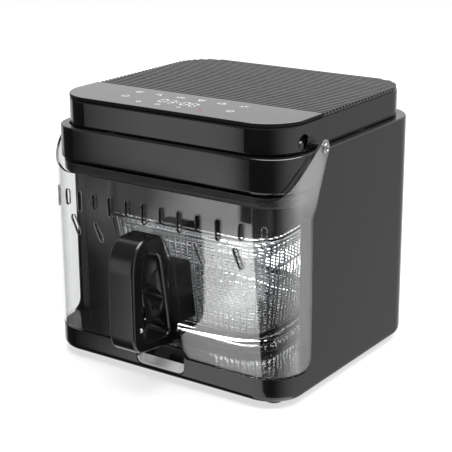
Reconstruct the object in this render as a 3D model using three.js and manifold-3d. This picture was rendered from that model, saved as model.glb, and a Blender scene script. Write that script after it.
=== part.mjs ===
import * as THREE from "three";
import Module from "manifold-3d";
import { mergeVertices } from "three/addons/utils/BufferGeometryUtils.js";

// Countertop hot-air fryer with a glass bowl. Millimetres, +Z up, +X the object's right, -Y its front.
// The origin is under the middle of the whole object, on the surface that the feet stand on.

// Footprint of the housing
const HALF_W = 150;
const FRONT = -111;
const BACK = 164;
const R_FRONT = 37;
const R_BACK = 48;
const WALL = 3;
const GAP = 0.4;

// Levels
const FOOT_TOP = 9;
const SKIN_BOTTOM = 8;
const CHAMFER_TOP = 13;
const RIM_TOP = 32;
const DECK_BOTTOM = 30;
const DECK_TOP = 33;
const LINER_TOP = 211.7;
const FLOOR_BOTTOM = 212;
const FLOOR_TOP = 214.4;
const FASCIA_BOTTOM = 217.4;
const HOUSING_TOP = 252;
const LID_BOTTOM = 252.4;
const LID_TOP = 279.7;
const PANEL_BOTTOM = 280;
const PANEL_TOP = 284;

// Front opening of the housing, seen from the side
const EDGE_Y = -59.5;
const EDGE_FILLET = 14;

// Clear guard and its hinge
const PIVOT_Y = -40;
const PIVOT_Z = 253.5;
const GUARD_HALF_W = 150.6;
const GUARD_FRONT = -111.6;
const GUARD_R = 37;
const GUARD_WALL = 2.8;
const GUARD_BOTTOM = 34.5;
const GUARD_TOP = 205.3;
const BOSS_R = 8.5;
const SLOT_PLACES = [-134, -116, -99.7, -80, -58.9, -36.9, -15.8, 6.6, 28.3, 50.7, 74.6, 101.6, 127];
const SLOT_WIDTH = 5.6;
const SLOT_TOP = 188;
const SLOT_TALL = 22;
const SLOT_SHORT = 17;
const LEANING_SLOTS = [[-106, 151], [-75, 148], [52, 148], [98, 152]];
const SLOT_LEAN = 0.42;
const ARCH_TOP = 160.5;

// Head
const FASCIA_HALF_W = 146.4;
const FASCIA_FRONT = -107.4;
const FASCIA_BACK = -14;
const LID_HALF_W = 141;
const LID_FRONT = -101;
const LID_BACK = 155;
const LID_R = 43;
const LID_WALL = 2.4;
const PANEL_SPLIT = -27;
const RIB_PITCH = 6.3;
const SKIRT_HALF = 108;
const SKIRT_BOTTOM = 160.3;
const SKIRT_R = 34;

// Bowl, basket and handle
const BOWL_Y = 30;
const BOWL_BOTTOM = 33.4;
const BOWL_TOP = 157.5;
const BOWL_HALF_TOP = 106;
const BOWL_HALF_BOTTOM = 90;
const GLASS = 4;
const HANDLE_HALF = 15.5;
const HANDLE_BEVEL = 3;
const SCREW_SEAT = -108;
const SCREW_HEIGHTS = [76, 114];

// Fan and motor, all on one upright axis over the bowl
const SHAFT_R = 3;
const SHAFT_BOTTOM = 188;
const SHAFT_TOP = 273;

const CORNER_STEPS = 6;
const ROUND_STEPS = 16;

const plastic = new THREE.MeshStandardMaterial({ color: 0x303133, roughness: 0.25, metalness: 0 });
const innerPlastic = new THREE.MeshStandardMaterial({ color: 0x26272a, roughness: 0.45, metalness: 0 });
const softPlastic = new THREE.MeshStandardMaterial({ color: 0x1d1d1f, roughness: 0.5, metalness: 0 });
const panelGloss = new THREE.MeshStandardMaterial({ color: 0x8c8d8f, roughness: 0.15, metalness: 0 });
const clear = new THREE.MeshStandardMaterial({
  color: 0xdfe3e5, roughness: 0.05, metalness: 0, opacity: 0.25,
});
const steel = new THREE.MeshStandardMaterial({ color: 0xc9cbcd, roughness: 0.3, metalness: 1 });
const darkSteel = new THREE.MeshStandardMaterial({ color: 0x6f7173, roughness: 0.4, metalness: 1 });
const aluminium = new THREE.MeshStandardMaterial({ color: 0xb4b7ba, roughness: 0.35, metalness: 1 });
const board = new THREE.MeshStandardMaterial({ color: 0x1f5a36, roughness: 0.5, metalness: 0 });
const rubber = new THREE.MeshStandardMaterial({ color: 0x18181a, roughness: 0.85, metalness: 0 });
const lens = new THREE.MeshStandardMaterial({ color: 0xf3efe2, roughness: 0.2, metalness: 0 });

const wasm = await Module();
wasm.setup();

const fryer = new THREE.Group();
fryer.name = "glass_bowl_fryer";

// ---------- helpers ----------

function solid(geometry) {
  geometry.deleteAttribute("normal");
  geometry.deleteAttribute("uv");
  const merged = mergeVertices(geometry, 1e-4);
  return new wasm.Manifold(new wasm.Mesh({
    numProp: 3,
    vertProperties: new Float32Array(merged.attributes.position.array),
    triVerts: new Uint32Array(merged.index.array),
  }));
}

function shell(manifold) {
  const mesh = manifold.getMesh();
  const geometry = new THREE.BufferGeometry();
  geometry.setAttribute("position", new THREE.BufferAttribute(new Float32Array(mesh.vertProperties), 3));
  geometry.setIndex(new THREE.BufferAttribute(new Uint32Array(mesh.triVerts), 1));
  geometry.computeVertexNormals();
  return geometry;
}

function add(name, body, material) {
  const mesh = new THREE.Mesh(shell(body), material);
  mesh.name = name;
  fryer.add(mesh);
}

function cut(body, ...tools) {
  return tools.reduce((left, tool) => left.subtract(tool), body);
}

function join(...bodies) {
  return bodies.reduce((left, body) => left.add(body));
}

// Rounded rectangle in plan, with its own radius at the front and at the back.
function plan(halfW, front, back, rFront, rBack = rFront) {
  const shape = new THREE.Shape();
  shape.moveTo(-halfW + rFront, front);
  shape.lineTo(halfW - rFront, front);
  shape.absarc(halfW - rFront, front + rFront, rFront, -Math.PI / 2, 0, false);
  shape.absarc(halfW - rBack, back - rBack, rBack, 0, Math.PI / 2, false);
  shape.absarc(-halfW + rBack, back - rBack, rBack, Math.PI / 2, Math.PI, false);
  shape.absarc(-halfW + rFront, front + rFront, rFront, Math.PI, Math.PI * 1.5, false);
  return shape;
}

function upright(shape, bottom, top, steps = CORNER_STEPS) {
  const geometry = new THREE.ExtrudeGeometry(shape, {
    depth: top - bottom,
    bevelEnabled: false,
    curveSegments: steps,
  });
  return solid(geometry.translate(0, 0, bottom));
}

function prism(halfW, front, back, rFront, rBack, bottom, top) {
  return upright(plan(halfW, front, back, rFront, rBack), bottom, top);
}

function box(x0, x1, y0, y1, z0, z1) {
  const geometry = new THREE.BoxGeometry(x1 - x0, y1 - y0, z1 - z0);
  return solid(geometry.translate((x0 + x1) / 2, (y0 + y1) / 2, (z0 + z1) / 2));
}

// A closed side profile, given as (y, z) points, carried across the object from x0 to x1.
function across(points, x0, x1) {
  const shape = points instanceof THREE.Shape ? points : new THREE.Shape(points);
  const geometry = new THREE.ExtrudeGeometry(shape, {
    depth: x1 - x0,
    bevelEnabled: false,
    curveSegments: CORNER_STEPS,
  });
  geometry.rotateX(Math.PI / 2);
  geometry.rotateZ(Math.PI / 2);
  return solid(geometry.translate(x0, 0, 0));
}

function profile(list) {
  return list.map(([y, z]) => new THREE.Vector2(y, z));
}

// A turned solid on the Z axis from (radius, z) points that start and end on the axis.
function turned(list, steps = ROUND_STEPS) {
  const points = list.map(([r, z]) => new THREE.Vector2(r, z));
  const geometry = new THREE.LatheGeometry(points, steps);
  return solid(geometry.rotateX(Math.PI / 2));
}

function rod(radius, z0, z1, steps = ROUND_STEPS) {
  const geometry = new THREE.CylinderGeometry(radius, radius, z1 - z0, steps);
  geometry.rotateX(Math.PI / 2);
  return solid(geometry.translate(0, 0, (z0 + z1) / 2));
}

function rodX(radius, x0, x1, y, z, steps = ROUND_STEPS) {
  const geometry = new THREE.CylinderGeometry(radius, radius, x1 - x0, steps);
  geometry.rotateZ(Math.PI / 2);
  return solid(geometry.translate((x0 + x1) / 2, y, z));
}

function rodY(radius, y0, y1, x, z, steps = ROUND_STEPS) {
  const geometry = new THREE.CylinderGeometry(radius, radius, y1 - y0, steps);
  return solid(geometry.translate(x, (y0 + y1) / 2, z));
}

// A horizontal rounded square ring of points, for the drafted bowl and basket.
function ring(half, r, z) {
  const points = [];
  for (let corner = 0; corner < 4; corner += 1) {
    const turn = (corner * Math.PI) / 2;
    for (let i = 0; i <= CORNER_STEPS - 1; i += 1) {
      const angle = (i / (CORNER_STEPS - 1)) * (Math.PI / 2);
      const x = half - r + r * Math.cos(angle);
      const y = half - r + r * Math.sin(angle);
      points.push(new THREE.Vector3(
        x * Math.cos(turn) - y * Math.sin(turn),
        x * Math.sin(turn) + y * Math.cos(turn) + BOWL_Y,
        z,
      ));
    }
  }
  return points;
}

// Skins a run of rings and closes the first and the last of them with a flat fan.
function skinned(rings) {
  const count = rings[0].length;
  const points = rings.flat();
  const triangles = [];
  for (let j = 0; j < rings.length - 1; j += 1) {
    for (let i = 0; i < count; i += 1) {
      const a = j * count + i;
      const b = j * count + ((i + 1) % count);
      triangles.push(a, b, b + count, a, b + count, a + count);
    }
  }
  const first = points.length;
  points.push(new THREE.Vector3(0, BOWL_Y, rings[0][0].z));
  const last = points.length;
  points.push(new THREE.Vector3(0, BOWL_Y, rings[rings.length - 1][0].z));
  const base = (rings.length - 1) * count;
  for (let i = 0; i < count; i += 1) {
    const next = (i + 1) % count;
    triangles.push(first, next, i);
    triangles.push(last, base + i, base + next);
  }
  const geometry = new THREE.BufferGeometry().setFromPoints(points);
  geometry.setIndex(triangles);
  return solid(geometry);
}

function bowlHalf(z) {
  const share = (z - BOWL_BOTTOM - 5) / (BOWL_TOP - BOWL_BOTTOM - 5);
  return BOWL_HALF_BOTTOM + (BOWL_HALF_TOP - BOWL_HALF_BOTTOM) * share;
}

function pivotBore(radius) {
  return rodX(radius, -160, 160, PIVOT_Y, PIVOT_Z);
}

// ---------- housing ----------

function housing() {
  const skin = (inset, z) => planRing(HALF_W - inset, FRONT + inset, BACK - inset, R_FRONT - inset,
    R_BACK - inset, z);
  const outer = skinned([skin(1.8, SKIN_BOTTOM), skin(0, CHAMFER_TOP), skin(0, HOUSING_TOP)]);
  const inner = prism(HALF_W - WALL, FRONT + WALL, BACK - WALL, R_FRONT - WALL, R_BACK - WALL,
    SKIN_BOTTOM - 1, HOUSING_TOP - 2);
  const ledge = prism(138, -97, 152, 40, 40, HOUSING_TOP - 3, HOUSING_TOP + 1);
  const front = across(openingProfile(), -160, 160);
  const fasciaRoom = box(-146.9, 146.9, -130, FASCIA_BACK + 0.6, HOUSING_TOP - 3, HOUSING_TOP + 1);
  const boss = rodX(BOSS_R + 1, -160, 160, PIVOT_Y, PIVOT_Z);
  const notch = scoopNotch();
  const grille = box(-58.4, 58.4, BACK - 8, BACK + 4, 223.1, 238.9);
  const gland = rodY(8.2, BACK - 8, BACK + 4, 90, 46);
  return cut(outer, inner, ledge, front, fasciaRoom, boss, notch, grille, gland);
}

function planRing(halfW, front, back, rFront, rBack, z) {
  const centres = [
    [halfW - rFront, front + rFront, rFront, -Math.PI / 2],
    [halfW - rBack, back - rBack, rBack, 0],
    [-halfW + rBack, back - rBack, rBack, Math.PI / 2],
    [-halfW + rFront, front + rFront, rFront, Math.PI],
  ];
  return centres.flatMap(([cx, cy, r, start]) => Array.from({ length: CORNER_STEPS + 1 }, (_, i) => {
    const angle = start + (i / CORNER_STEPS) * (Math.PI / 2);
    return new THREE.Vector3(cx + r * Math.cos(angle), cy + r * Math.sin(angle), z);
  }));
}

function openingProfile() {
  const shape = new THREE.Shape();
  shape.moveTo(-130, RIM_TOP);
  shape.lineTo(EDGE_Y - EDGE_FILLET, RIM_TOP);
  shape.absarc(EDGE_Y - EDGE_FILLET, RIM_TOP + EDGE_FILLET, EDGE_FILLET, -Math.PI / 2, 0, false);
  shape.lineTo(EDGE_Y, 189);
  shape.lineTo(-53, 198);
  shape.lineTo(-49.6, 206);
  shape.lineTo(-31.2, 250);
  shape.lineTo(-31.2, 262);
  shape.lineTo(-130, 262);
  return shape;
}

function scoopNotch() {
  const r = 6;
  const shape = new THREE.Shape();
  shape.moveTo(-31, 40);
  shape.lineTo(-31, 13.5 + r);
  shape.absarc(-31 + r, 13.5 + r, r, Math.PI, Math.PI * 1.5, false);
  shape.lineTo(31 - r, 13.5);
  shape.absarc(31 - r, 13.5 + r, r, -Math.PI / 2, 0, false);
  shape.lineTo(31, 40);
  const geometry = new THREE.ExtrudeGeometry(shape, { depth: 12, bevelEnabled: false, curveSegments: 5 });
  return solid(geometry.rotateX(Math.PI / 2).translate(0, FRONT + 10, 0));
}

function bottomCover() {
  const plate = prism(HALF_W - WALL - 1, FRONT + WALL + 1, BACK - WALL - 1, R_FRONT - WALL - 1,
    R_BACK - WALL - 1, FOOT_TOP + 0.3, FOOT_TOP + 3);
  const vents = [];
  for (let i = -4; i <= 4; i += 1) {
    vents.push(box(i * 14 - 3, i * 14 + 3, -10, 70, FOOT_TOP - 2, FOOT_TOP + 6));
  }
  return cut(plate, ...vents);
}

function foot(x, y) {
  const body = turned([[0, 0], [8, 0], [9.5, 1.5], [9.5, 6.5], [8.5, FOOT_TOP], [0, FOOT_TOP]], 16);
  return body.translate([x, y, 0]);
}

function baseDeck() {
  const plate = prism(HALF_W - WALL - GAP, FRONT + WALL + GAP, BACK - WALL - GAP, R_FRONT - WALL - GAP,
    R_BACK - WALL - GAP, DECK_BOTTOM, DECK_TOP);
  const room = box(-30.6, 30.6, -130, -92, DECK_BOTTOM - 1, DECK_TOP + 1);
  const slope = across(profile([[-110.4, 13.9], [-107, 13.9], [-90.5, 29.5], [-86, DECK_BOTTOM],
    [-86, DECK_TOP], [-93.5, DECK_TOP], [-99, 29]]), -24.5, 24.5);
  const wide = across(profile([[-106.6, 18.2], [-103.5, 18.2], [-90.5, 29.5], [-86, DECK_BOTTOM],
    [-86, DECK_TOP], [-93.5, DECK_TOP], [-99, 29]]), -30.4, 30.4);
  return join(cut(plate, room), slope, wide);
}

function cavityLiner() {
  const half = 136;
  const outer = prism(half + 2, EDGE_Y - 30, 146, 30, 45, DECK_TOP + 0.3, LINER_TOP);
  const inner = prism(half, EDGE_Y - 34, 144, 30, 43, DECK_TOP - 1, LINER_TOP + 1);
  const front = box(-160, 160, -200, EDGE_Y + 1, 0, 260);
  const flanges = [-1, 1].map((side) => box(Math.min(side * half, side * 146.3),
    Math.max(side * half, side * 146.3), EDGE_Y, EDGE_Y + 2.2, DECK_TOP + 0.3, 188));
  const plungerHole = rodY(3.8, 140, 150, -60, 62, 12);
  return cut(join(cut(outer, inner, front), ...flanges), plungerHole);
}

function rearReflector() {
  const sheet = prism(92, 0, 143.4, 2, 2, 40, 206);
  return cut(sheet, box(-120, 120, -10, 141.8, 0, 260), rodY(5, 130, 150, -60, 62, 12));
}

function rearGrille() {
  const plug = box(-58, 58, BACK - 5, BACK - 0.4, 223.5, 238.5);
  const flange = box(-63, 63, BACK - WALL - 2.4, BACK - WALL - 0.4, 219.5, 242.5);
  const slots = [];
  for (let i = -6; i <= 6; i += 1) {
    slots.push(box(i * 8.4 - 2, i * 8.4 + 2, BACK - 12, BACK + 4, 225.5, 236.5));
  }
  return cut(join(plug, flange), ...slots);
}

function cordGland() {
  const body = turned([[0, 0], [7.8, 0], [7.8, 6.4], [11, 6.4], [11, 8], [8, 12], [4, 12], [4, 4],
    [0, 4]], 18);
  return body.rotate([-90, 0, 0]).translate([90, BACK - 6, 46]);
}

// ---------- head ----------

function fascia() {
  const r = 38;
  const outer = prism(FASCIA_HALF_W, FASCIA_FRONT, 100, r, r, FASCIA_BOTTOM, HOUSING_TOP);
  const inner = prism(FASCIA_HALF_W - 2.6, FASCIA_FRONT + 2.6, 99, r - 2.6, r - 2.6,
    FASCIA_BOTTOM + 2, HOUSING_TOP - 2);
  const through = prism(138.5, FASCIA_FRONT + 9, 98, 33, 33, FASCIA_BOTTOM - 1, HOUSING_TOP + 1);
  const rear = box(-200, 200, FASCIA_BACK, 200, 200, 260);
  return cut(outer, inner, through, rear, pivotBore(5.8));
}

function headFloor() {
  const plate = prism(143.4, -104.4, 159, 34, 42, FLOOR_BOTTOM, FLOOR_TOP);
  const skirt = cut(
    prism(SKIRT_HALF, BOWL_Y - SKIRT_HALF, BOWL_Y + SKIRT_HALF, SKIRT_R, SKIRT_R,
      SKIRT_BOTTOM, FLOOR_BOTTOM + 1),
    prism(SKIRT_HALF - 2, BOWL_Y - SKIRT_HALF + 2, BOWL_Y + SKIRT_HALF - 2, SKIRT_R - 2, SKIRT_R - 2,
      SKIRT_BOTTOM - 1, FLOOR_BOTTOM + 0.01),
  );
  const valance = cut(
    prism(143.4, -104.4, 150, 34, 34, 203, FLOOR_BOTTOM + 1),
    prism(141.4, -102.4, 148, 32, 32, 202, FLOOR_BOTTOM + 0.01),
    box(-200, 200, EDGE_Y - 1, 200, 190, 230),
  );
  return cut(join(plate, skirt, valance), onAxis(rod(7, 200, 220)), spot(rod(8, 200, 220), -74, 104),
    spot(rod(3, 200, 220), 0, -62));
}

function onAxis(body) {
  return body.translate([0, BOWL_Y, 0]);
}

function spot(body, x, y) {
  return body.translate([x, y, 0]);
}

function lidShell() {
  const outer = prism(LID_HALF_W, LID_FRONT, LID_BACK, LID_R, LID_R, LID_BOTTOM, LID_TOP);
  const inner = prism(LID_HALF_W - LID_WALL, LID_FRONT + LID_WALL, LID_BACK - LID_WALL, LID_R - LID_WALL,
    LID_R - LID_WALL, LID_BOTTOM - 1, LID_TOP - 2);
  const top = prism(128, -88, 142, 30, 30, LID_TOP - 3, LID_TOP + 1);
  const pads = [-1, 1].map((side) => mirrored(rodX(9.5, 134, LID_HALF_W - LID_WALL / 2, -62, 262), side));
  const pockets = [-1, 1].map((side) => mirrored(rodX(8, 136, 160, -62, 262), side));
  return cut(join(cut(outer, inner, top), ...pads), ...pockets, pivotBore(12.4));
}

function controlPanel() {
  const plate = prism(LID_HALF_W - 0.2, LID_FRONT + 0.2, LID_BACK, LID_R, LID_R, PANEL_BOTTOM, PANEL_TOP);
  return cut(plate, box(-200, 200, PANEL_SPLIT - 0.3, 200, 270, 290));
}

function ribbedCover() {
  const edge = PANEL_TOP - 1.2;
  const root = edge - 1.2;
  const points = [[LID_BACK + 5, PANEL_BOTTOM - 1], [LID_BACK + 5, root]];
  for (let y = LID_BACK - 4; y > PANEL_SPLIT + RIB_PITCH; y -= RIB_PITCH) {
    points.push([y, root], [y - 0.8, edge], [y - 3.4, edge], [y - 4.2, root]);
  }
  points.push([PANEL_SPLIT + 0.3, root], [PANEL_SPLIT + 0.3, PANEL_BOTTOM - 1]);
  const ribs = across(profile(points.reverse()), -LID_HALF_W, LID_HALF_W);
  return ribs.intersect(prism(LID_HALF_W - 1.4, LID_FRONT, LID_BACK - 1.2, LID_R - 1, LID_R - 1,
    PANEL_BOTTOM, PANEL_TOP));
}

function controlBoard() {
  const parts = [box(-95, 95, -84, -44, 266, 267.6)];
  for (let i = -2; i <= 2; i += 1) {
    parts.push(box(i * 36 - 6, i * 36 + 6, -58, -50, 267.5, 270));
  }
  return join(...parts);
}

function displayModule() {
  return join(box(-34, 34, -80, -62, 270.4, 277), box(-38, 38, -82, -60, 267.9, 270.5));
}

// ---------- hot end ----------

function reflectorPlate() {
  const half = 103;
  const dish = cut(
    prism(half, BOWL_Y - half, BOWL_Y + half, 30, 30, 203, 206.5),
    prism(half - 2, BOWL_Y - half + 2, BOWL_Y + half - 2, 28, 28, 202, 205.3),
  );
  return cut(dish, onAxis(rod(7, 200, 210)), spot(rod(13, 200, 210), -74, 104),
    spot(rod(3.4, 200, 210), 0, -62));
}

function heaterCoil() {
  const points = [];
  for (let i = 0; i <= 60; i += 1) {
    const angle = (i / 60) * Math.PI * 4.4;
    const radius = 44 + (i / 60) * 36;
    points.push(new THREE.Vector3(radius * Math.cos(angle), BOWL_Y + radius * Math.sin(angle), 178));
  }
  const path = new THREE.CatmullRomCurve3(points);
  const section = new THREE.Shape();
  section.absarc(0, 0, 3.2, 0, Math.PI * 2, false);
  return solid(new THREE.ExtrudeGeometry(section, {
    steps: 64, bevelEnabled: false, extrudePath: path, curveSegments: 3,
  }));
}

function heaterBridge() {
  const bar = box(-105.6, 105.6, BOWL_Y + 8, BOWL_Y + 16, 183, 184.6);
  const tabs = [-1, 1].map((side) => box(side * 104.8 - 0.8, side * 104.8 + 0.8,
    BOWL_Y + 8, BOWL_Y + 16, 172, 184.6));
  return join(bar, ...tabs);
}

function fanGuard() {
  const ring = (r) => cut(onAxis(rod(r, 166, 168.4, 24)), onAxis(rod(r - 2.4, 165, 170, 24)));
  const rings = [26, 50, 74, 98].map(ring);
  const spokes = [0, 1, 2, 3].map((i) => box(-97, 97, -1.6, 1.6, 166, 168.4)
    .rotate([0, 0, i * 45]).translate([0, BOWL_Y, 0]));
  return join(...rings, ...spokes);
}

function lampLens() {
  return turned([[0, 199], [7, 199.6], [10.5, 203], [10.5, 211.7], [0, 211.7]], 16).translate([-74, 104, 0]);
}

function lampHousing() {
  return turned([[0, 236], [10, 236], [14, 230], [14, FLOOR_TOP + 0.3], [0, FLOOR_TOP + 0.3]].reverse(), 16)
    .translate([-74, 104, 0]);
}

function cookingFan() {
  const hub = onAxis(rod(10, 190, 200));
  const disc = onAxis(rod(74, 199.4, 201, 28));
  const blades = Array.from({ length: 8 }, (_, i) => box(8, 72, -0.8, 0.8, 190.5, 199.6)
    .rotate([0, 0, i * 45 + 10]).translate([0, BOWL_Y, 0]));
  return cut(join(hub, disc, ...blades), onAxis(rod(SHAFT_R + 0.3, 180, 210)));
}

function coolingFan() {
  const hub = onAxis(rod(11, 260, 270));
  const disc = onAxis(rod(48, 260, 261.4, 28));
  const blades = Array.from({ length: 9 }, (_, i) => box(9, 47, -0.7, 0.7, 261, 269.5)
    .rotate([0, 0, i * 40]).translate([0, BOWL_Y, 0]));
  return cut(join(hub, disc, ...blades), onAxis(rod(SHAFT_R + 0.3, 250, 280)));
}

function motorCan() {
  const body = onAxis(join(rod(34, 220.8, 252, 28), rod(12, 251, 256)));
  return cut(body, onAxis(rod(SHAFT_R + 0.5, 210, 260)));
}

function motorBracket() {
  const plate = box(-50, 50, BOWL_Y - 50, BOWL_Y + 50, 218, 220.5);
  const legs = [[-1, -1], [-1, 1], [1, -1], [1, 1]].map(([i, j]) => spot(
    rod(4.5, FLOOR_TOP + 0.3, 218.5, 12), i * 44, BOWL_Y + j * 44));
  return cut(join(plate, ...legs), onAxis(rod(10, 210, 230)));
}

function fanNut() {
  return turned([[0, 181.5], [4, 181.5], [6, 183.5], [6, 187.7], [0, 187.7]], 6).translate([0, BOWL_Y, 0]);
}

function thermalCutout() {
  const plate = box(76, 96, -26, -12, FLOOR_TOP + 0.3, FLOOR_TOP + 3);
  return join(plate, spot(rod(6.5, FLOOR_TOP + 2, FLOOR_TOP + 10), 86, -19));
}

function powerBoard() {
  const back = 150;
  return join(
    box(-75, 25, back, back + 1.6, 70, 170),
    box(-66, -40, back + 1, back + 9, 120, 150),
    box(-30, -6, back + 1, back + 9.4, 84, 108),
    rodY(7, back + 1, back + 9, 8, 150, 14),
    box(0, 16, back + 1, back + 8, 90, 116),
  );
}

function doorSwitch() {
  return cut(box(-71, -49, 151, 160.6, 55, 69), rodY(3.5, 149, 156.5, -60, 62, 12));
}

function plunger() {
  return join(rodY(3, 125.4, 151.6, -60, 62, 12), rodY(5, 146.4, 147.6, -60, 62, 12));
}

// ---------- guard and hinge ----------

function hingeBracket(side) {
  const plate = across(profile([[-54, 217.5], [-26, 217.5], [-26, 256], [-33, 262], [-47, 262],
    [-54, 256]]), 130, 133.5);
  const shelf = box(114, 133.5, -54, -26, FLOOR_TOP + 0.3, 217.6);
  return mirrored(cut(join(plate, shelf), pivotBore(5.3)), side);
}

function hingeBush(side) {
  const sleeve = join(rodX(5, 128, 147.2, PIVOT_Y, PIVOT_Z), rodX(7, 133.8, 136, PIVOT_Y, PIVOT_Z));
  return mirrored(cut(sleeve, rodX(2.9, 134.5, 160, PIVOT_Y, PIVOT_Z, 14)), side);
}

function pivotScrew(side) {
  const head = rodX(5, GUARD_HALF_W + 0.3, GUARD_HALF_W + 2.3, PIVOT_Y, PIVOT_Z);
  const shank = rodX(2.4, 137, GUARD_HALF_W + 1, PIVOT_Y, PIVOT_Z, 14);
  const socket = rodX(2, GUARD_HALF_W + 1.4, GUARD_HALF_W + 4, PIVOT_Y, PIVOT_Z, 6);
  return mirrored(cut(join(head, shank), socket), side);
}

function mirrored(body, side) {
  return side > 0 ? body : body.mirror([1, 0, 0]);
}

function guardSide() {
  const r = 12;
  const back = EDGE_Y - 1;
  const shape = new THREE.Shape();
  shape.moveTo(-130, GUARD_BOTTOM);
  shape.lineTo(back - r, GUARD_BOTTOM);
  shape.absarc(back - r, GUARD_BOTTOM + r, r, -Math.PI / 2, 0, false);
  shape.lineTo(back, 188);
  shape.lineTo(-54.2, 198);
  shape.lineTo(-51, 206);
  shape.lineTo(PIVOT_Y + BOSS_R * 0.93, PIVOT_Z - BOSS_R * 0.36);
  shape.absarc(PIVOT_Y, PIVOT_Z, BOSS_R, -0.36, Math.PI * 0.83, false);
  shape.lineTo(-62.2, 247.5);
  shape.lineTo(-80, 235.5);
  shape.lineTo(-92, 224.2);
  shape.lineTo(-98, 218.6);
  shape.lineTo(-104, 213.4);
  shape.lineTo(-108, 210.4);
  shape.lineTo(-111, 207);
  shape.lineTo(-112, GUARD_TOP);
  shape.lineTo(-130, GUARD_TOP);
  return shape;
}

function slot(height, angle = 0) {
  const r = SLOT_WIDTH / 2;
  const shape = new THREE.Shape();
  shape.absarc(0, height / 2 - r, r, 0, Math.PI, false);
  shape.absarc(0, -height / 2 + r, r, Math.PI, Math.PI * 2, false);
  const geometry = new THREE.ExtrudeGeometry(shape, { depth: 30, bevelEnabled: false, curveSegments: 3 });
  return solid(geometry.rotateZ(angle).rotateX(Math.PI / 2).translate(0, 15, 0));
}

function guardSlots() {
  const tools = [];
  const flat = GUARD_HALF_W - GUARD_R;
  for (const [i, s] of SLOT_PLACES.entries()) {
    const height = i % 2 === 0 ? SLOT_TALL : SLOT_SHORT;
    const z = SLOT_TOP - height / 2;
    const over = Math.abs(s) - flat;
    if (over <= 0) {
      tools.push(slot(height).translate([s, GUARD_FRONT, z]));
      continue;
    }
    const turn = Math.sign(s) * THREE.MathUtils.radToDeg(over / GUARD_R);
    tools.push(slot(height).translate([0, -GUARD_R, 0]).rotate([0, 0, turn])
      .translate([Math.sign(s) * flat, GUARD_FRONT + GUARD_R, z]));
  }
  for (const [x, z] of LEANING_SLOTS) {
    tools.push(slot(SLOT_TALL, SLOT_LEAN).translate([x, GUARD_FRONT, z]));
  }
  return tools;
}

function archTool() {
  const shape = new THREE.Shape();
  shape.moveTo(0, ARCH_TOP);
  shape.quadraticCurveTo(-8, ARCH_TOP, -15, 141);
  shape.quadraticCurveTo(-22.5, 122, -25.5, 95);
  shape.lineTo(-27, 78);
  shape.lineTo(-29, 52);
  shape.quadraticCurveTo(-30, 38, -40, GUARD_BOTTOM - 1);
  shape.lineTo(40, GUARD_BOTTOM - 1);
  shape.quadraticCurveTo(30, 38, 29, 52);
  shape.lineTo(27, 78);
  shape.lineTo(25.5, 95);
  shape.quadraticCurveTo(22.5, 122, 15, 141);
  shape.quadraticCurveTo(8, ARCH_TOP, 0, ARCH_TOP);
  const geometry = new THREE.ExtrudeGeometry(shape, { depth: 20, bevelEnabled: false, curveSegments: 10 });
  return solid(geometry.rotateX(Math.PI / 2).translate(0, GUARD_FRONT + 10, 0));
}

function guard() {
  const back = 60;
  const outer = prism(GUARD_HALF_W, GUARD_FRONT, back, GUARD_R, GUARD_R, 20, 280);
  const r = GUARD_R - GUARD_WALL;
  const inner = prism(GUARD_HALF_W - GUARD_WALL, GUARD_FRONT + GUARD_WALL, back - 5, r, r, 10, 290);
  const wall = cut(outer, inner).intersect(across(guardSide(), -160, 160));
  return cut(wall, archTool(), ...guardSlots(), pivotBore(3));
}

// ---------- bowl ----------

function glassBowl() {
  const foot = BOWL_BOTTOM;
  return skinned([
    ring(82, 24, foot),
    ring(86.4, 27, foot + 1),
    ring(BOWL_HALF_BOTTOM, 30, foot + 5),
    ring(BOWL_HALF_TOP - 0.4, 34, BOWL_TOP - 2),
    ring(BOWL_HALF_TOP - 1.4, 33, BOWL_TOP),
    ring(BOWL_HALF_TOP - GLASS + 0.6, 31, BOWL_TOP),
    ring(BOWL_HALF_TOP - GLASS, 30, BOWL_TOP - 2),
    ring(bowlHalf(foot + 16) - GLASS, 27, foot + 16),
    ring(82, 22, foot + 11),
    ring(76, 18, foot + 9),
  ]);
}

function basketShell() {
  return skinned([
    ring(78, 18, 46.2),
    ring(84, 24, 50),
    ring(95.4, 28, 145),
    ring(98.6, 30, 146.6),
    ring(98.6, 30, 148.6),
    ring(94.6, 27, 148.6),
    ring(93.8, 26.5, 146.8),
    ring(82, 22, 51.4),
    ring(77, 17, 48),
  ]);
}

function rack(z, half) {
  const frame = cut(
    prism(half, BOWL_Y - half, BOWL_Y + half, 22, 22, z, z + 2.4),
    prism(half - 3, BOWL_Y - half + 3, BOWL_Y + half - 3, 19, 19, z - 1, z + 4),
  );
  const bars = [];
  for (let i = -3; i <= 3; i += 1) {
    bars.push(box(i * 22 - 1, i * 22 + 1, BOWL_Y - half + 1.5, BOWL_Y + half - 1.5, z + 0.3, z + 2.1));
  }
  return join(frame, ...bars);
}

function handleBracket() {
  const face = (z) => BOWL_Y - bowlHalf(z) - 0.4;
  return cut(
    across(profile([[-97.6, 60], [face(60), 60], [face(124), 124], [-97.6, 118]]), -13, 13),
    ...SCREW_HEIGHTS.map((z) => rodY(2, -110, -84, 0, z, 12)),
  );
}

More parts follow.
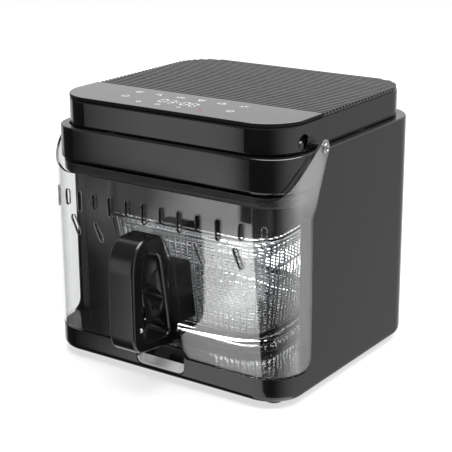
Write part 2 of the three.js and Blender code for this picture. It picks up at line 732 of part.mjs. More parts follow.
function handleGrip() {
  const shape = new THREE.Shape();
  const b = HANDLE_BEVEL;
  shape.moveTo(-98 - b, 53 + b);
  shape.lineTo(-98 - b, 122 - b);
  shape.quadraticCurveTo(-112, 134 - b, -117, 150 - b);
  shape.quadraticCurveTo(-121, 166 - b, -131, 166 - b);
  shape.lineTo(-146, 166 - b);
  shape.quadraticCurveTo(-169 + b, 165 - b, -170 + b, 132);
  shape.lineTo(-170 + b, 69);
  shape.quadraticCurveTo(-170 + b, 51 + b, -154, 50 + b);
  shape.lineTo(-112, 45 + b);
  shape.quadraticCurveTo(-98 - b, 45 + b, -98 - b, 53 + b);
  const hole = new THREE.Path();
  hole.moveTo(-154 - b, 128);
  hole.quadraticCurveTo(-153 - b, 150 + b, -139, 150 + b);
  hole.quadraticCurveTo(-127 + b, 149.5 + b, -124.5 + b, 132);
  hole.lineTo(-114 + b, 64);
  hole.quadraticCurveTo(-112.5 + b, 57 - b, -121, 57 - b);
  hole.lineTo(-145, 59 - b);
  hole.quadraticCurveTo(-154 - b, 59.5 - b, -154 - b, 68);
  hole.lineTo(-154 - b, 128);
  shape.holes.push(hole);
  const depth = (HANDLE_HALF - b) * 2;
  const geometry = new THREE.ExtrudeGeometry(shape, {
    depth, bevelEnabled: true, bevelThickness: b, bevelSize: b, bevelSegments: 2, curveSegments: 5,
  });
  geometry.translate(0, 0, -depth / 2);
  geometry.rotateX(Math.PI / 2);
  geometry.rotateZ(Math.PI / 2);
  const bores = SCREW_HEIGHTS.map((z) => join(
    rodY(2.6, -140, -90, 0, z, 12),
    rodY(4.9, -140, SCREW_SEAT, 0, z, 14),
  ));
  return cut(solid(geometry), ...bores);
}

function handleScrew(z) {
  const under = SCREW_SEAT - 0.4;
  return join(rodY(4.5, under - 2.4, under, 0, z, 14), rodY(1.7, under - 1, -86, 0, z, 10));
}

// ---------- the object ----------

add("outer_housing", housing(), plastic);
add("bottom_cover", bottomCover(), innerPlastic);
add("foot_front_left", foot(-122, -84), rubber);
add("foot_front_right", foot(122, -84), rubber);
add("foot_rear_left", foot(-118, 130), rubber);
add("foot_rear_right", foot(118, 130), rubber);
add("base_deck", baseDeck(), plastic);
add("cavity_liner", cavityLiner(), innerPlastic);
add("rear_reflector", rearReflector(), steel);
add("rear_grille", rearGrille(), innerPlastic);
add("cord_gland", cordGland(), rubber);
add("head_fascia", fascia(), plastic);
add("head_floor", headFloor(), innerPlastic);
add("lid_shell", lidShell(), plastic);
add("control_panel", controlPanel(), panelGloss);
add("ribbed_cover", ribbedCover(), plastic);
add("control_board", controlBoard(), board);
add("display_module", displayModule(), innerPlastic);
add("reflector_plate", reflectorPlate(), steel);
add("heater_coil", heaterCoil(), darkSteel);
add("heater_bridge", heaterBridge(), steel);
add("fan_guard", fanGuard(), steel);
add("lamp_lens", lampLens(), lens);
add("lamp_housing", lampHousing(), innerPlastic);
add("temperature_probe", spot(rod(2.4, 186, 224, 12), 0, -62), steel);
add("thermal_cutout", thermalCutout(), aluminium);
add("motor_bracket", motorBracket(), steel);
add("motor_can", motorCan(), darkSteel);
add("motor_shaft", onAxis(rod(SHAFT_R, SHAFT_BOTTOM, SHAFT_TOP, 14)), steel);
add("cooking_fan", cookingFan(), aluminium);
add("cooling_fan", coolingFan(), innerPlastic);
add("fan_nut", fanNut(), steel);
add("power_board", powerBoard(), board);
add("door_switch", doorSwitch(), innerPlastic);
add("interlock_plunger", plunger(), steel);
add("hinge_bracket_left", hingeBracket(-1), steel);
add("hinge_bracket_right", hingeBracket(1), steel);
add("hinge_bush_left", hingeBush(-1), innerPlastic);
add("hinge_bush_right", hingeBush(1), innerPlastic);
add("clear_guard", guard(), clear);
add("pivot_screw_left", pivotScrew(-1), steel);
add("pivot_screw_right", pivotScrew(1), steel);
add("glass_bowl", glassBowl(), clear);
add("wire_basket", basketShell(), steel);
add("lower_rack", rack(112, 84), steel);
add("upper_rack", rack(130, 86), steel);
add("handle_bracket", handleBracket(), softPlastic);
add("handle_grip", handleGrip(), softPlastic);
add("handle_screw_upper", handleScrew(SCREW_HEIGHTS[1]), steel);
add("handle_screw_lower", handleScrew(SCREW_HEIGHTS[0]), steel);

export default fryer;
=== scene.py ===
import math

import bmesh
import bpy
from mathutils import Matrix, Vector


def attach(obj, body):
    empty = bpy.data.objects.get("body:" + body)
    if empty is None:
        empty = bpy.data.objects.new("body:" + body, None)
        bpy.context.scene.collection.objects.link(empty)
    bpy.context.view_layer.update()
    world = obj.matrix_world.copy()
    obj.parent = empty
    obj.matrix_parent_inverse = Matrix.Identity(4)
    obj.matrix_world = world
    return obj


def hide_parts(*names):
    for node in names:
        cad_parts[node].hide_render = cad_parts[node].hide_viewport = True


# A countertop hot-air fryer with a glass bowl: the looks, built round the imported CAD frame.
# Everything is in metres in the CAD frame; the shape helpers below take millimetres.

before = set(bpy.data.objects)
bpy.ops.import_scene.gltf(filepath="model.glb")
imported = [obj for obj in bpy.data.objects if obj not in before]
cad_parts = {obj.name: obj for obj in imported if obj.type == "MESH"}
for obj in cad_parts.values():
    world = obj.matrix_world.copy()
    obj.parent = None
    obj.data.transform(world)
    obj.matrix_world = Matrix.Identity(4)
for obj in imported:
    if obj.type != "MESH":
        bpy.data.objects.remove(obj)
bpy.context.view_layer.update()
SCENE = bpy.context.scene
MM = 0.001

# ---------- camera ----------

CAMERA_AT = Vector((0.7677, -1.0846, 0.5608))
CAMERA_BACK = Vector((0.5475, -0.7800, 0.3030)).normalized()
CAMERA_ROLL = math.radians(-0.415)
SENSOR_WIDTH, FOCAL_LENGTH = 36, 104.107


def make_camera():
    data = bpy.data.cameras.new("camera")
    data.sensor_width = SENSOR_WIDTH
    data.lens = FOCAL_LENGTH
    data.clip_end = 50
    camera = bpy.data.objects.new("camera", data)
    SCENE.collection.objects.link(camera)
    level = Vector((-CAMERA_BACK.y, CAMERA_BACK.x, 0)).normalized()
    above = CAMERA_BACK.cross(level)
    across = math.cos(CAMERA_ROLL) * level + math.sin(CAMERA_ROLL) * above
    upward = CAMERA_BACK.cross(across)
    turn = Matrix((across, upward, CAMERA_BACK)).transposed()
    camera.matrix_world = Matrix.Translation(CAMERA_AT) @ turn.to_4x4()
    SCENE.camera = camera


# ---------- materials ----------


def feed(tree, socket, value):
    """Sets an input to a value, or links it to the socket that is given."""
    if isinstance(value, bpy.types.NodeSocket):
        tree.links.new(value, socket)
    else:
        socket.default_value = value


def node(tree, kind, **settings):
    """A new node; each setting is an input's name or one of the node's own properties."""
    made = tree.nodes.new(kind)
    for key, value in settings.items():
        if key in made.inputs:
            feed(tree, made.inputs[key], value)
        else:
            setattr(made, key, value)
    return made


def math_node(tree, operation, *values):
    made = node(tree, "ShaderNodeMath", operation=operation)
    for socket, value in zip(made.inputs, values):
        feed(tree, socket, value)
    return made.outputs[0]


def map_range(tree, value, ends, **settings):
    made = node(tree, "ShaderNodeMapRange", Value=value, **settings)
    for key, end in zip(("From Min", "From Max", "To Min", "To Max"), ends):
        feed(tree, made.inputs[key], end)
    return made.outputs["Result"]


def step_up(tree, value, start, end):
    """Rises smoothly from 0 at start to 1 at end."""
    return map_range(tree, value, (start, end), interpolation_type="SMOOTHSTEP")


def spread(tree, source, low, high):
    """Stretches a noise, which lies mostly between 0.3 and 0.7, to run from low to high."""
    return map_range(tree, source, (0.3, 0.7, low, high))


def noise(tree, scale, detail=3.0, stretch=(1, 1, 1)):
    where = node(tree, "ShaderNodeTexCoord").outputs["Object"]
    mapping = node(tree, "ShaderNodeMapping", Vector=where, Scale=stretch).outputs["Vector"]
    return node(tree, "ShaderNodeTexNoise", Vector=mapping, Scale=scale, Detail=detail).outputs["Fac"]


def tinted(tree, source, colour, change):
    """The colour, made a little lighter and darker by the noise."""
    dark = (*[c * (1 - change) for c in colour], 1)
    pale = (*[min(1, c * (1 + change)) for c in colour], 1)
    mix = node(tree, "ShaderNodeMix", data_type="RGBA", A=dark, B=pale, Factor=spread(tree, source, 0, 1))
    return next(s for s in mix.outputs if s.type == "RGBA")


def new_material(name):
    """A node material, with its node tree and its Principled shader."""
    material = bpy.data.materials.new(name)
    material.use_nodes = True
    return material, material.node_tree, material.node_tree.nodes["Principled BSDF"]


def surface(name, colour, rough, metallic=0.0, change=0.15, grain=900, bump=0, depth=0.00005,
            stretch=(1, 1, 1), **sockets):
    """A solid surface with mottled colour, uneven gloss and, where it has a bump, a fine grain."""
    material, tree, shader = new_material(name)
    fine = noise(tree, grain, 2, stretch)
    tree.links.new(tinted(tree, noise(tree, 35, 4), colour, change), shader.inputs["Base Color"])
    tree.links.new(spread(tree, fine, rough[0], rough[1]), shader.inputs["Roughness"])
    shader.inputs["Metallic"].default_value = metallic
    for key, value in sockets.items():
        shader.inputs[key.replace("_", " ")].default_value = value
    if bump:
        relief = node(tree, "ShaderNodeBump", Strength=bump, Distance=depth, Height=fine)
        tree.links.new(relief.outputs["Normal"], shader.inputs["Normal"])
    return material


# Painted sheen on the clear guard: how much milkier its sides and arms turn, and where that begins, in place
# of reflected light.
SIDE_PAINTED_SHEEN = 0.085
SHEEN_FROM, SHEEN_FULL = 0.143, 0.151
ARMS_FROM, ARMS_FULL = 0.185, 0.215
SMEAR = 0.004


def clear(name, tint, ior, painted_sheen=0.0):
    """Clear glass or plastic that lets lamps through.

    A painted sheen turns it milky white towards the two sides, half as strong low down as on the arms, in
    place of the light that these parts reflect."""
    material, tree, shader = new_material(name)
    shader.inputs["Base Color"].default_value = (*tint, 1)
    shader.inputs["Transmission Weight"].default_value = 1
    shader.inputs["IOR"].default_value = ior
    tree.links.new(spread(tree, noise(tree, 12, 1), 0, SMEAR), shader.inputs["Roughness"])
    # painted sheen: less clear towards the sides and on the arms, so that they look lit
    if painted_sheen:
        where = node(tree, "ShaderNodeTexCoord").outputs["Object"]
        x, _, z = node(tree, "ShaderNodeSeparateXYZ", Vector=where).outputs
        side = step_up(tree, math_node(tree, "ABSOLUTE", x), SHEEN_FROM, SHEEN_FULL)
        arms = step_up(tree, z, ARMS_FROM, ARMS_FULL)
        most = math_node(tree, "MULTIPLY_ADD", arms, -painted_sheen / 2, -painted_sheen / 2)
        clearness = math_node(tree, "MULTIPLY_ADD", side, most, 1)
        tree.links.new(clearness, shader.inputs["Transmission Weight"])
    path = node(tree, "ShaderNodeLightPath")
    either = math_node(tree, "MAXIMUM", path.outputs["Is Shadow Ray"], path.outputs["Is Diffuse Ray"])
    through = node(tree, "ShaderNodeBsdfTransparent", Color=(*tint, 1))
    mix = node(tree, "ShaderNodeMixShader")
    for socket, value in zip(mix.inputs, (either, shader.outputs[0], through.outputs[0])):
        feed(tree, socket, value)
    tree.links.new(mix.outputs[0], tree.nodes["Material Output"].inputs["Surface"])
    return material


BLACK_GLOSS = surface("black_gloss", (0.0034, 0.0035, 0.0037), (0.05, 0.09), bump=0.02)
BLACK_INNER = surface("black_inner", (0.004, 0.004, 0.0044), (0.3, 0.38), grain=120, bump=0.02)
PANEL = surface("panel_grey", (0.018, 0.0183, 0.019), (0.05, 0.08), change=0.04)
ICON_WHITE = surface("icon_white", (0.3, 0.3, 0.31), (0.2, 0.3), change=0.03,
                     Emission_Color=(0.9, 0.93, 1, 1), Emission_Strength=0.04)
ICON_RED = surface("icon_red", (0.16, 0.03, 0.035), (0.2, 0.3), change=0.03,
                   Emission_Color=(1, 0.1, 0.08, 1), Emission_Strength=0.02)
EDGE_BLACK = surface("edge_black", (0.004, 0.004, 0.004), (0.5, 0.6), Specular_IOR_Level=0.1)
RUBBER = surface("rubber", (0.012, 0.012, 0.012), (0.6, 0.75), grain=700, bump=0.2)
BRIGHT_STEEL = surface("bright_steel", (0.72, 0.73, 0.74), (0.16, 0.3), metallic=1.0, change=0.05,
                       grain=300, stretch=(0.04, 1, 6), bump=0.02)
REFLECTOR = surface("reflector_steel", (0.86, 0.86, 0.87), (0.3, 0.45), change=0.02,
                    grain=300, stretch=(6, 1, 0.05), bump=0.02)
RIBBED = surface("ribbed_satin", (0.024, 0.0245, 0.025), (0.26, 0.34), grain=1500, bump=0.05,
                 Specular_IOR_Level=0.42)
GRIP = surface("grip_black", (0.003, 0.003, 0.0033), (0.15, 0.2), bump=0.02)
SCOOP = surface("scoop_grey", (0.55, 0.553, 0.56), (0.22, 0.3), change=0.04, bump=0.02)
WIRE = surface("plated_wire", (0.42, 0.425, 0.43), (0.34, 0.44), metallic=1.0, change=0.08)
HEATER = surface("heater_sheath", (0.1, 0.09, 0.085), (0.4, 0.6), metallic=0.8, change=0.3,
                 grain=500, bump=0.15)
MOTOR = surface("zinc_can", (0.4, 0.4, 0.41), (0.3, 0.45), metallic=1.0, change=0.1,
                grain=300, bump=0.05)
PIN_STEEL = surface("pin_steel", (0.3, 0.3, 0.305), (0.2, 0.3), metallic=1.0, change=0.06)
DARK_STEEL = surface("dark_steel", (0.05, 0.05, 0.052), (0.3, 0.4), metallic=1.0, change=0.1)
ALUMINIUM = surface("pressed_aluminium", (0.65, 0.66, 0.67), (0.3, 0.42), metallic=1.0, change=0.06,
                    bump=0.05)
BOARD = surface("board_green", (0.015, 0.09, 0.04), (0.35, 0.5), change=0.25, grain=400, bump=0.1)
LENS = surface("lamp_lens", (0.9, 0.88, 0.8), (0.2, 0.3), change=0.03,
               Emission_Color=(1, 0.95, 0.85, 1), Emission_Strength=0.5)
CLEAR_PLASTIC = clear("clear_plastic", (0.97, 0.975, 0.98), 1.585, painted_sheen=SIDE_PAINTED_SHEEN)
# Painted shade: the guard's cut edges and slot walls are opaque black, standing in for the dark look of clear
# plastic's edges.
SHADED_CUT_EDGE = surface("cut_edge_painted_shade", (0.012, 0.012, 0.013), (0.12, 0.2), change=0.1,
                   Specular_IOR_Level=0.3)
BOWL_GLASS = clear("bowl_glass", (0.965, 0.975, 0.975), 1.48)

# ---------- shape helpers (millimetres in, metres out) ----------


def loose(name, verts, faces):
    """An object of its own that isn't a piece of the fryer yet, with its faces turned outwards."""
    mesh = bpy.data.meshes.new(name)
    mesh.from_pydata([tuple(c * MM for c in v) for v in verts], [], faces)
    work = bmesh.new()
    work.from_mesh(mesh)
    bmesh.ops.remove_doubles(work, verts=work.verts, dist=1e-6)
    bmesh.ops.recalc_face_normals(work, faces=work.faces)
    work.to_mesh(mesh)
    work.free()
    made = bpy.data.objects.new(name, mesh)
    SCENE.collection.objects.link(made)
    return made


def piece(name, verts, faces, material, body, *replaces, smooth=True):
    """A visible piece that rides on a body, and may stand for CAD nodes."""
    made = loose(name, verts, faces)
    if smooth:
        made.data.shade_smooth()
    made.data.materials.append(material)
    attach(made, body)
    if replaces:
        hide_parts(*replaces)
    return made


def thicken(made, thickness, offset=-1):
    """Gives a surface a wall of some thickness, inwards unless the offset is 1."""
    wall = made.modifiers.new("wall", "SOLIDIFY")
    wall.thickness = thickness * MM
    wall.offset = offset
    wall.use_even_offset = True
    return made


def soften(made, width, segments=3, angle=35):
    """Rounds the edges that turn by more than an angle."""
    edge = made.modifiers.new("edge", "BEVEL")
    edge.width = width * MM
    edge.segments = segments
    edge.limit_method = "ANGLE"
    edge.angle_limit = math.radians(angle)
    edge.miter_outer = "MITER_ARC"
    weigh = made.modifiers.new("normals", "WEIGHTED_NORMAL")
    weigh.keep_sharp = True
    return made


def carve(made, tool):
    """Cuts the tool out of a piece, and removes the tool."""
    cutter = made.modifiers.new("cut", "BOOLEAN")
    cutter.operation = "DIFFERENCE"
    cutter.object = tool
    cutter.solver = "EXACT"
    apply_all(made)
    bpy.data.objects.remove(tool)
    return made


def apply_all(made):
    """Turns a piece's modifiers into its mesh."""
    ready = made.evaluated_get(bpy.context.evaluated_depsgraph_get())
    mesh = bpy.data.meshes.new_from_object(ready)
    made.modifiers.clear()
    made.data = mesh
    return made


def sharpen(made, angle=30):
    """Shades a piece smooth, apart from the edges that turn by more than an angle."""
    made.data.shade_smooth()
    made.data.set_sharp_from_angle(angle=math.radians(angle))
    return made


def plan(half, front, back, r_front, r_back=None, steps=20, xs=(), ys=()):
    """A rounded rectangle seen from above, counter-clockwise from the middle of the back.

    Each point is (x, y, outward x, outward y). xs and ys are extra points along the front and the sides."""
    r_back = r_front if r_back is None else r_back
    points = [(0, back, 0, 1)]
    corners = [(-1, 1, r_back, 90), (-1, -1, r_front, 180), (1, -1, r_front, 270), (1, 1, r_back, 0)]
    for i, (sx, sy, r, start) in enumerate(corners):
        cx = sx * (half - r)
        cy = back - r if sy > 0 else front + r
        for k in range(steps + 1):
            angle = math.radians(start + 90 * k / steps)
            nx, ny = math.cos(angle), math.sin(angle)
            points.append((cx + r * nx, cy + r * ny, nx, ny))
        if i == 0:
            points += [(-half, y, -1, 0) for y in sorted(ys, reverse=True)]
        if i == 1:
            points += [(x, front, 0, -1) for x in sorted(xs)]
        if i == 2:
            points += [(half, y, 1, 0) for y in sorted(ys)]
    return points


def part_of(points, keep):
    """The run of a plan's points that pass a test, in order, started where the run starts."""
    start = next(i for i, p in enumerate(points) if keep(p) and not keep(points[i - 1]))
    run = []
    for p in points[start:] + points[:start]:
        if not keep(p):
            break
        run.append(p)
    return run


def rows_of(columns, levels):
    """Vertices of a wall: one row of points for each (inset, height) that levels gives for a column."""
    return [[(x - nx * i, y - ny * i, z) for i, z in levels((x, y, nx, ny))] for x, y, nx, ny in columns]


def upright(columns, levels, closed=False):
    """A wall whose every column has the same (inset, height) points."""
    return walls((rows_of(columns, lambda c: levels), closed))


def grid(rows, closed=False, base=0):
    """Faces between neighbouring rows of points, each row the same length."""
    count, high = len(rows), len(rows[0])
    faces = []
    for i in range(count if closed else count - 1):
        a, b = base + i * high, base + ((i + 1) % count) * high
        faces += [(a + j, b + j, b + j + 1, a + j + 1) for j in range(high - 1)]
    return faces


def walls(*runs):
    """Several walls, each given as (rows, closed), as one list of vertices and faces."""
    verts, faces = [], []
    for rows, closed in runs:
        faces += grid(rows, closed, len(verts))
        verts += [p for row in rows for p in row]
    return verts, faces


def turned(profile, steps=32, at=(0, 0, 0), axis="Z"):
    """A solid turned about an axis from (radius, height) points that start and end on the axis."""
    shift = "ZYX".index(axis)
    rows = []
    for k in range(steps):
        a = 2 * math.pi * k / steps
        row = [(r * math.cos(a), r * math.sin(a), h) for r, h in profile]
        rows.append([tuple(c + o for c, o in zip(p[shift:] + p[:shift], at)) for p in row])
    return walls((rows, True))


def merged(*parts):
    """Several solids as one list of vertices and faces."""
    verts, faces = [], []
    for v, f in parts:
        faces += [tuple(i + len(verts) for i in face) for face in f]
        verts += v
    return verts, faces


def mirrored(side, verts, faces):
    """A solid made for the right (side 1), carried over to the left when side is -1."""
    return [(side * x, y, z) for x, y, z in verts], faces


def loft(loops, closed=False):
    """A solid through a run of loops, each the same length: closed on itself, or capped at both ends."""
    n, count = len(loops[0]), len(loops)
    verts = [p for loop in loops for p in loop]
    faces = []
    for j in range(count if closed else count - 1):
        a, b = j * n, (j + 1) % count * n
        faces += [(a + i, a + (i + 1) % n, b + (i + 1) % n, b + i) for i in range(n)]
    if not closed:
        faces += [tuple(reversed(range(n))), tuple(range(len(verts) - n, len(verts)))]
    return verts, faces


def prism(points, z0, z1):
    """An upright solid on a closed outline."""
    return loft([[(p[0], p[1], z) for p in points] for z in (z0, z1)])


def across(points, x0, x1):
    """A solid with a side outline of (y, z) points, carried from x0 to x1."""
    return loft([[(x, y, z) for y, z in points] for x in (x0, x1)])


def slab(x0, x1, y0, y1, z0, z1):
    return prism([(x0, y0), (x1, y0), (x1, y1), (x0, y1)], z0, z1)


def bezier(a, b, c, count):
    """Points after a, along the curve that leaves a towards b and reaches c from b."""
    return [((1 - t) ** 2 * a[0] + 2 * t * (1 - t) * b[0] + t * t * c[0],
             (1 - t) ** 2 * a[1] + 2 * t * (1 - t) * b[1] + t * t * c[1])
            for t in (k / count for k in range(1, count + 1))]


def outline(start, *steps):
    """A run of points; each step is a point, or a curve's (control point, end, number of points)."""
    points = [start]
    for step in steps:
        points += bezier(points[-1], *step) if len(step) == 3 else [step]
    return points


def interpolate(table, value):
    """The height that a list of (place, height) points gives at a place."""
    for (a, fa), (b, fb) in zip(table, table[1:]):
        if value <= b:
            return fa + (fb - fa) * (value - a) / (b - a)
    return table[-1][1]


# ---------- sizes ----------

HALF_W, FRONT, BACK = 150, -111, 164
R_FRONT, R_BACK = 37, 48
EDGE_Y, EDGE_FILLET, RIM_TOP = -59.5, 14, 32
HOUSING_TOP = 252
PIVOT = (-40, 253.5)
BOWL_Y = 30
FOOT_ARC = [(2.4, 8), (1.3, 9), (0.5, 10.6), (0.1, 12.6), (0, 13.5)]


def fillet_steps(count=10):
    """Points along the fillet at the foot of the housing's front edge: (y, height)."""
    found = []
    for k in range(count + 1):
        a = math.pi / 2 * k / count
        found.append((EDGE_Y - EDGE_FILLET * (1 - math.sin(a)), RIM_TOP + EDGE_FILLET * (1 - math.cos(a))))
    return found


# ---------- housing ----------

SLANT = [(EDGE_Y, 189), (-56, 193.6), (-53, 198), (-49.6, 206), (-40, 229), (-31.2, 250),
         (-30.4, HOUSING_TOP), (BACK, HOUSING_TOP)]
LEDGE_FRONT, LEDGE_DEPTH, LEDGE_ROUND = -30.3, 12, 2.2
NOTCH_HALF, NOTCH_Z, NOTCH_R = 31, 13.6, 6


def make_housing():
    """The C-shaped housing: its tall rear part, the base band with the scoop's notch, and the ledge."""
    fillet = fillet_steps()
    ys = [y for y, _ in fillet] + [y for y, _ in SLANT[1:7]] + [-28.5, 0, 40, 80]
    notch_x = [NOTCH_HALF - NOTCH_R + NOTCH_R * math.sin(math.pi / 2 * k / 6) for k in range(7)]
    xs = [-x for x in notch_x] + notch_x + [0, -50, 50, -80, 80]
    points = plan(HALF_W, FRONT, BACK, R_FRONT, R_BACK, 24, xs, ys)
    heights = {round(y, 4): z for y, z in fillet}

    def in_notch(col):
        return abs(col[0]) <= NOTCH_HALF + 1e-6 and col[1] < FRONT + 1

    def beside(col):
        return col[1] <= EDGE_Y + 1e-6 and not (abs(col[0]) < NOTCH_HALF - 1e-6 and col[1] < FRONT + 1)

    def rear(col):
        top = interpolate(SLANT, col[1])
        arc = []
        for k in range(6):
            a = math.pi / 2 * k / 5
            inset = LEDGE_ROUND * (1 - math.cos(a)) if col[1] > LEDGE_FRONT else 0
            arc.append((inset, top - LEDGE_ROUND + LEDGE_ROUND * math.sin(a)))
        return FOOT_ARC + [(0, NOTCH_Z + NOTCH_R), (0, RIM_TOP + EDGE_FILLET), (0, 110), (0, 160)] + arc

    def band(col):
        return FOOT_ARC + [(0, NOTCH_Z + NOTCH_R), (0, heights.get(round(col[1], 4), RIM_TOP))]

    def notch(col):
        over = max(0, abs(col[0]) - (NOTCH_HALF - NOTCH_R))
        top = NOTCH_Z + NOTCH_R - math.sqrt(max(0, NOTCH_R ** 2 - over ** 2))
        return FOOT_ARC + [(0, max(top, 13.55))]

    def ledge(_):
        return [(LEDGE_ROUND, HOUSING_TOP), (LEDGE_DEPTH, HOUSING_TOP)]

    runs = [(lambda p: p[1] >= EDGE_Y - 1e-6, rear), (lambda p: beside(p) and p[0] < 0, band),
            (lambda p: beside(p) and p[0] > 0, band), (in_notch, notch),
            (lambda p: p[1] > LEDGE_FRONT, ledge)]
    shell = walls(*[(rows_of(part_of(points, test), levels), False) for test, levels in runs])
    made = piece("housing_shell", *shell, BLACK_GLOSS, "chassis", "outer_housing")
    soften(thicken(made, 2.8), 0.7)


DECK_TOP = 33
SCOOP_HALF, SCOOP_LOW, SCOOP_R = 30.4, 13.9, 8.4
SCOOP_BLACK_AND_SHADOW_FROM = 21


def make_base_deck():
    """The deck in the base and the scoop in its front rim."""
    deck = piece("deck_plate", *prism(plan(146.6, -107.6, 160.6, 33.6, 44.6, 16), DECK_TOP - 3, DECK_TOP),
                 BLACK_GLOSS, "chassis", "base_deck")
    carve(deck, loose("room", *slab(-30.6, 30.6, -130, -92, 20, 40)))
    soften(deck, 0.6)
    rows = []
    path = [(-110.6, SCOOP_LOW), (-109.4, SCOOP_LOW), (-107.5, 14.2), (-104.5, 15.8), (-100, 19.4),
            (-95.5, 24.2), (-92.6, 28.4), (-91.6, 31.2), (-91.2, DECK_TOP)]
    for k in range(33):
        x = SCOOP_HALF * (k / 16 - 1)
        edge = max(0, abs(x) - (SCOOP_HALF - SCOOP_R)) / SCOOP_R
        lift = 6.5 * (1 - math.sqrt(max(0, 1 - edge ** 2)))
        rows.append([(x, y, min(DECK_TOP, max(z, SCOOP_LOW + lift))) for y, z in path])
    scoop = piece("scoop_slope", *walls((rows, False)), SCOOP, "chassis")
    # Above this height the slope is black gloss: partly the deck's black front, partly a painted shadow from
    # the handle.
    scoop.data.materials.append(BLACK_GLOSS)
    for face in scoop.data.polygons:
        face.material_index = 1 if face.center.z > SCOOP_BLACK_AND_SHADOW_FROM * MM else 0
    thicken(scoop, 2.2)


def make_feet():
    """Four round rubber feet with rounded edges."""
    profile = [(0, 0), (7.2, 0), (8.6, 0.4), (9.5, 1.6), (9.5, 6.2), (8.8, 7.2), (8.5, 9), (0, 9)]
    for name, x, y in (("foot_front_left", -122, -84), ("foot_front_right", 122, -84),
                       ("foot_rear_left", -118, 130), ("foot_rear_right", 118, 130)):
        pad = turned(profile, 36, (x, y, 0))
        sharpen(piece(name + "_pad", *pad, RUBBER, "chassis", name))


LINER_BOTTOM, LINER_TOP = 33.3, 211.7


def make_liner():
    """The dark walls of the cavity, its two front posts and the bright sheet on its rear wall."""
    columns = part_of(plan(136, -93.5, 144, 30, 43, ys=(EDGE_Y, -20, 40)), lambda p: p[1] >= EDGE_Y - 1e-6)
    levels = [(0, z) for z in (LINER_BOTTOM, 60, 120, 180, LINER_TOP)]
    made = piece("cavity_wall", *upright(columns, levels), BLACK_INNER, "chassis", "cavity_liner")
    soften(thicken(made, 2, 1), 0.4)
    for sign, name in ((-1, "cavity_post_left"), (1, "cavity_post_right")):
        x0, x1 = sorted((sign * 138.2, sign * 146.3))
        post = slab(x0, x1, EDGE_Y, EDGE_Y + 2.2, LINER_BOTTOM, 188)
        soften(piece(name, *post, BLACK_INNER, "chassis"), 0.5)
    sheet = prism(plan(124, 141.9, 143.5, 0.6, 0.6, 4), 38, 208)
    soften(piece("bright_back", *sheet, REFLECTOR, "chassis", "rear_reflector"), 0.4)


# ---------- head ----------


FASCIA_BACK, FASCIA_ROUND = -14, 1.6


def make_fascia():
    """The head's upright front band, with a rounded top edge and a rim that turns in under the lid."""
    points = plan(146.4, -107.4, 100, 38, 38, 24, (-60, 0, 60), (-60, -40, FASCIA_BACK))
    columns = part_of(points, lambda p: p[1] <= FASCIA_BACK + 1e-6)
    levels = [(1.6, 217.4), (0.5, 217.8), (0, 219.2), (0, 219.8), (0, 249.8)]
    for k in range(6):
        a = math.pi / 2 * k / 5
        levels.append((FASCIA_ROUND * (1 - math.cos(a)), HOUSING_TOP - FASCIA_ROUND * (1 - math.sin(a))))
    levels.append((9, HOUSING_TOP))
    made = piece("fascia_shell", *upright(columns, levels), BLACK_GLOSS, "chassis", "head_fascia")
    soften(thicken(made, 2.4), 0.5)


def make_head_floor():
    """The head's floor, the valance round its front and the square skirt over the bowl."""
    plate = prism(plan(143.4, -104.4, 159, 34, 42, 12), 212, 214.4)
    made = piece("head_floor_plate", *plate, BLACK_INNER, "chassis", "head_floor")
    soften(made, 0.5)
    columns = part_of(plan(143.2, -104.2, 150, 34, ys=(EDGE_Y,)), lambda p: p[1] <= EDGE_Y + 1e-6)
    valance = upright(columns, [(0, 211.8), (0, 206), (0.6, 203.6), (1.4, 203)])
    soften(thicken(piece("head_valance", *valance, BLACK_INNER, "chassis"), 1.8), 0.4)
    columns = plan(108, BOWL_Y - 108, BOWL_Y + 108, 34)
    levels = [(0, 211.8), (0, 190), (0, 166), (0.2, 162), (0.9, 160.6), (1.6, 160.3)]
    skirt = upright(columns, levels, True)
    soften(thicken(piece("bowl_skirt", *skirt, BLACK_INNER, "chassis"), 1.8), 0.4)


POCKET_Y, POCKET_Z, POCKET_R = -62, 262, 8


def make_lid():
    """The lid's upright wall, with a round pocket in each side."""
    points = plan(141, -101, 155, 43, 43, 28, ys=(-50, 0, 60))
    levels = [(1.2, 252.4), (0.3, 252.9), (0, 254), (0, 254.6), (0, 277.2), (0, 277.8), (0.5, 279.2),
              (1.6, 279.7)]
    made = piece("lid_wall", *upright(points, levels, True), BLACK_GLOSS, "chassis", "lid_shell")
    soften(thicken(made, 2.4), 0.4)
    apply_all(made)
    bore = [(0, 120), (POCKET_R, 120), (POCKET_R, 160), (0, 160)]
    cup = [(0, 134.2), (9.2, 134.2), (9.2, 138.6), (POCKET_R, 138.6), (POCKET_R, 136), (2.6, 136),
           (2.2, 137.6), (0, 137.6)]
    for side, name in ((-1, "lid_pocket_left"), (1, "lid_pocket_right")):
        at = (0, POCKET_Y, POCKET_Z)
        carve(made, loose("pocket", *mirrored(side, *turned(bore, 40, at, "X"))))
        sharpen(piece(name, *mirrored(side, *turned(cup, 40, at, "X")), BLACK_INNER, "chassis"))
    sharpen(made, 40)
    made.modifiers.new("normals", "WEIGHTED_NORMAL").keep_sharp = True


PANEL_SPLIT, PANEL_GAP = -27, 0.3
PANEL_TOP = 283.9


def cropped(points, y_cut):
    """The part of a closed outline in front of a line across the object."""
    run = part_of(points, lambda p: p[1] <= y_cut)
    half = max(abs(p[0]) for p in run)
    return [(-half, y_cut, -1, 0)] + [p for p in run if p[1] < y_cut - 0.5] + [(half, y_cut, 1, 0)]


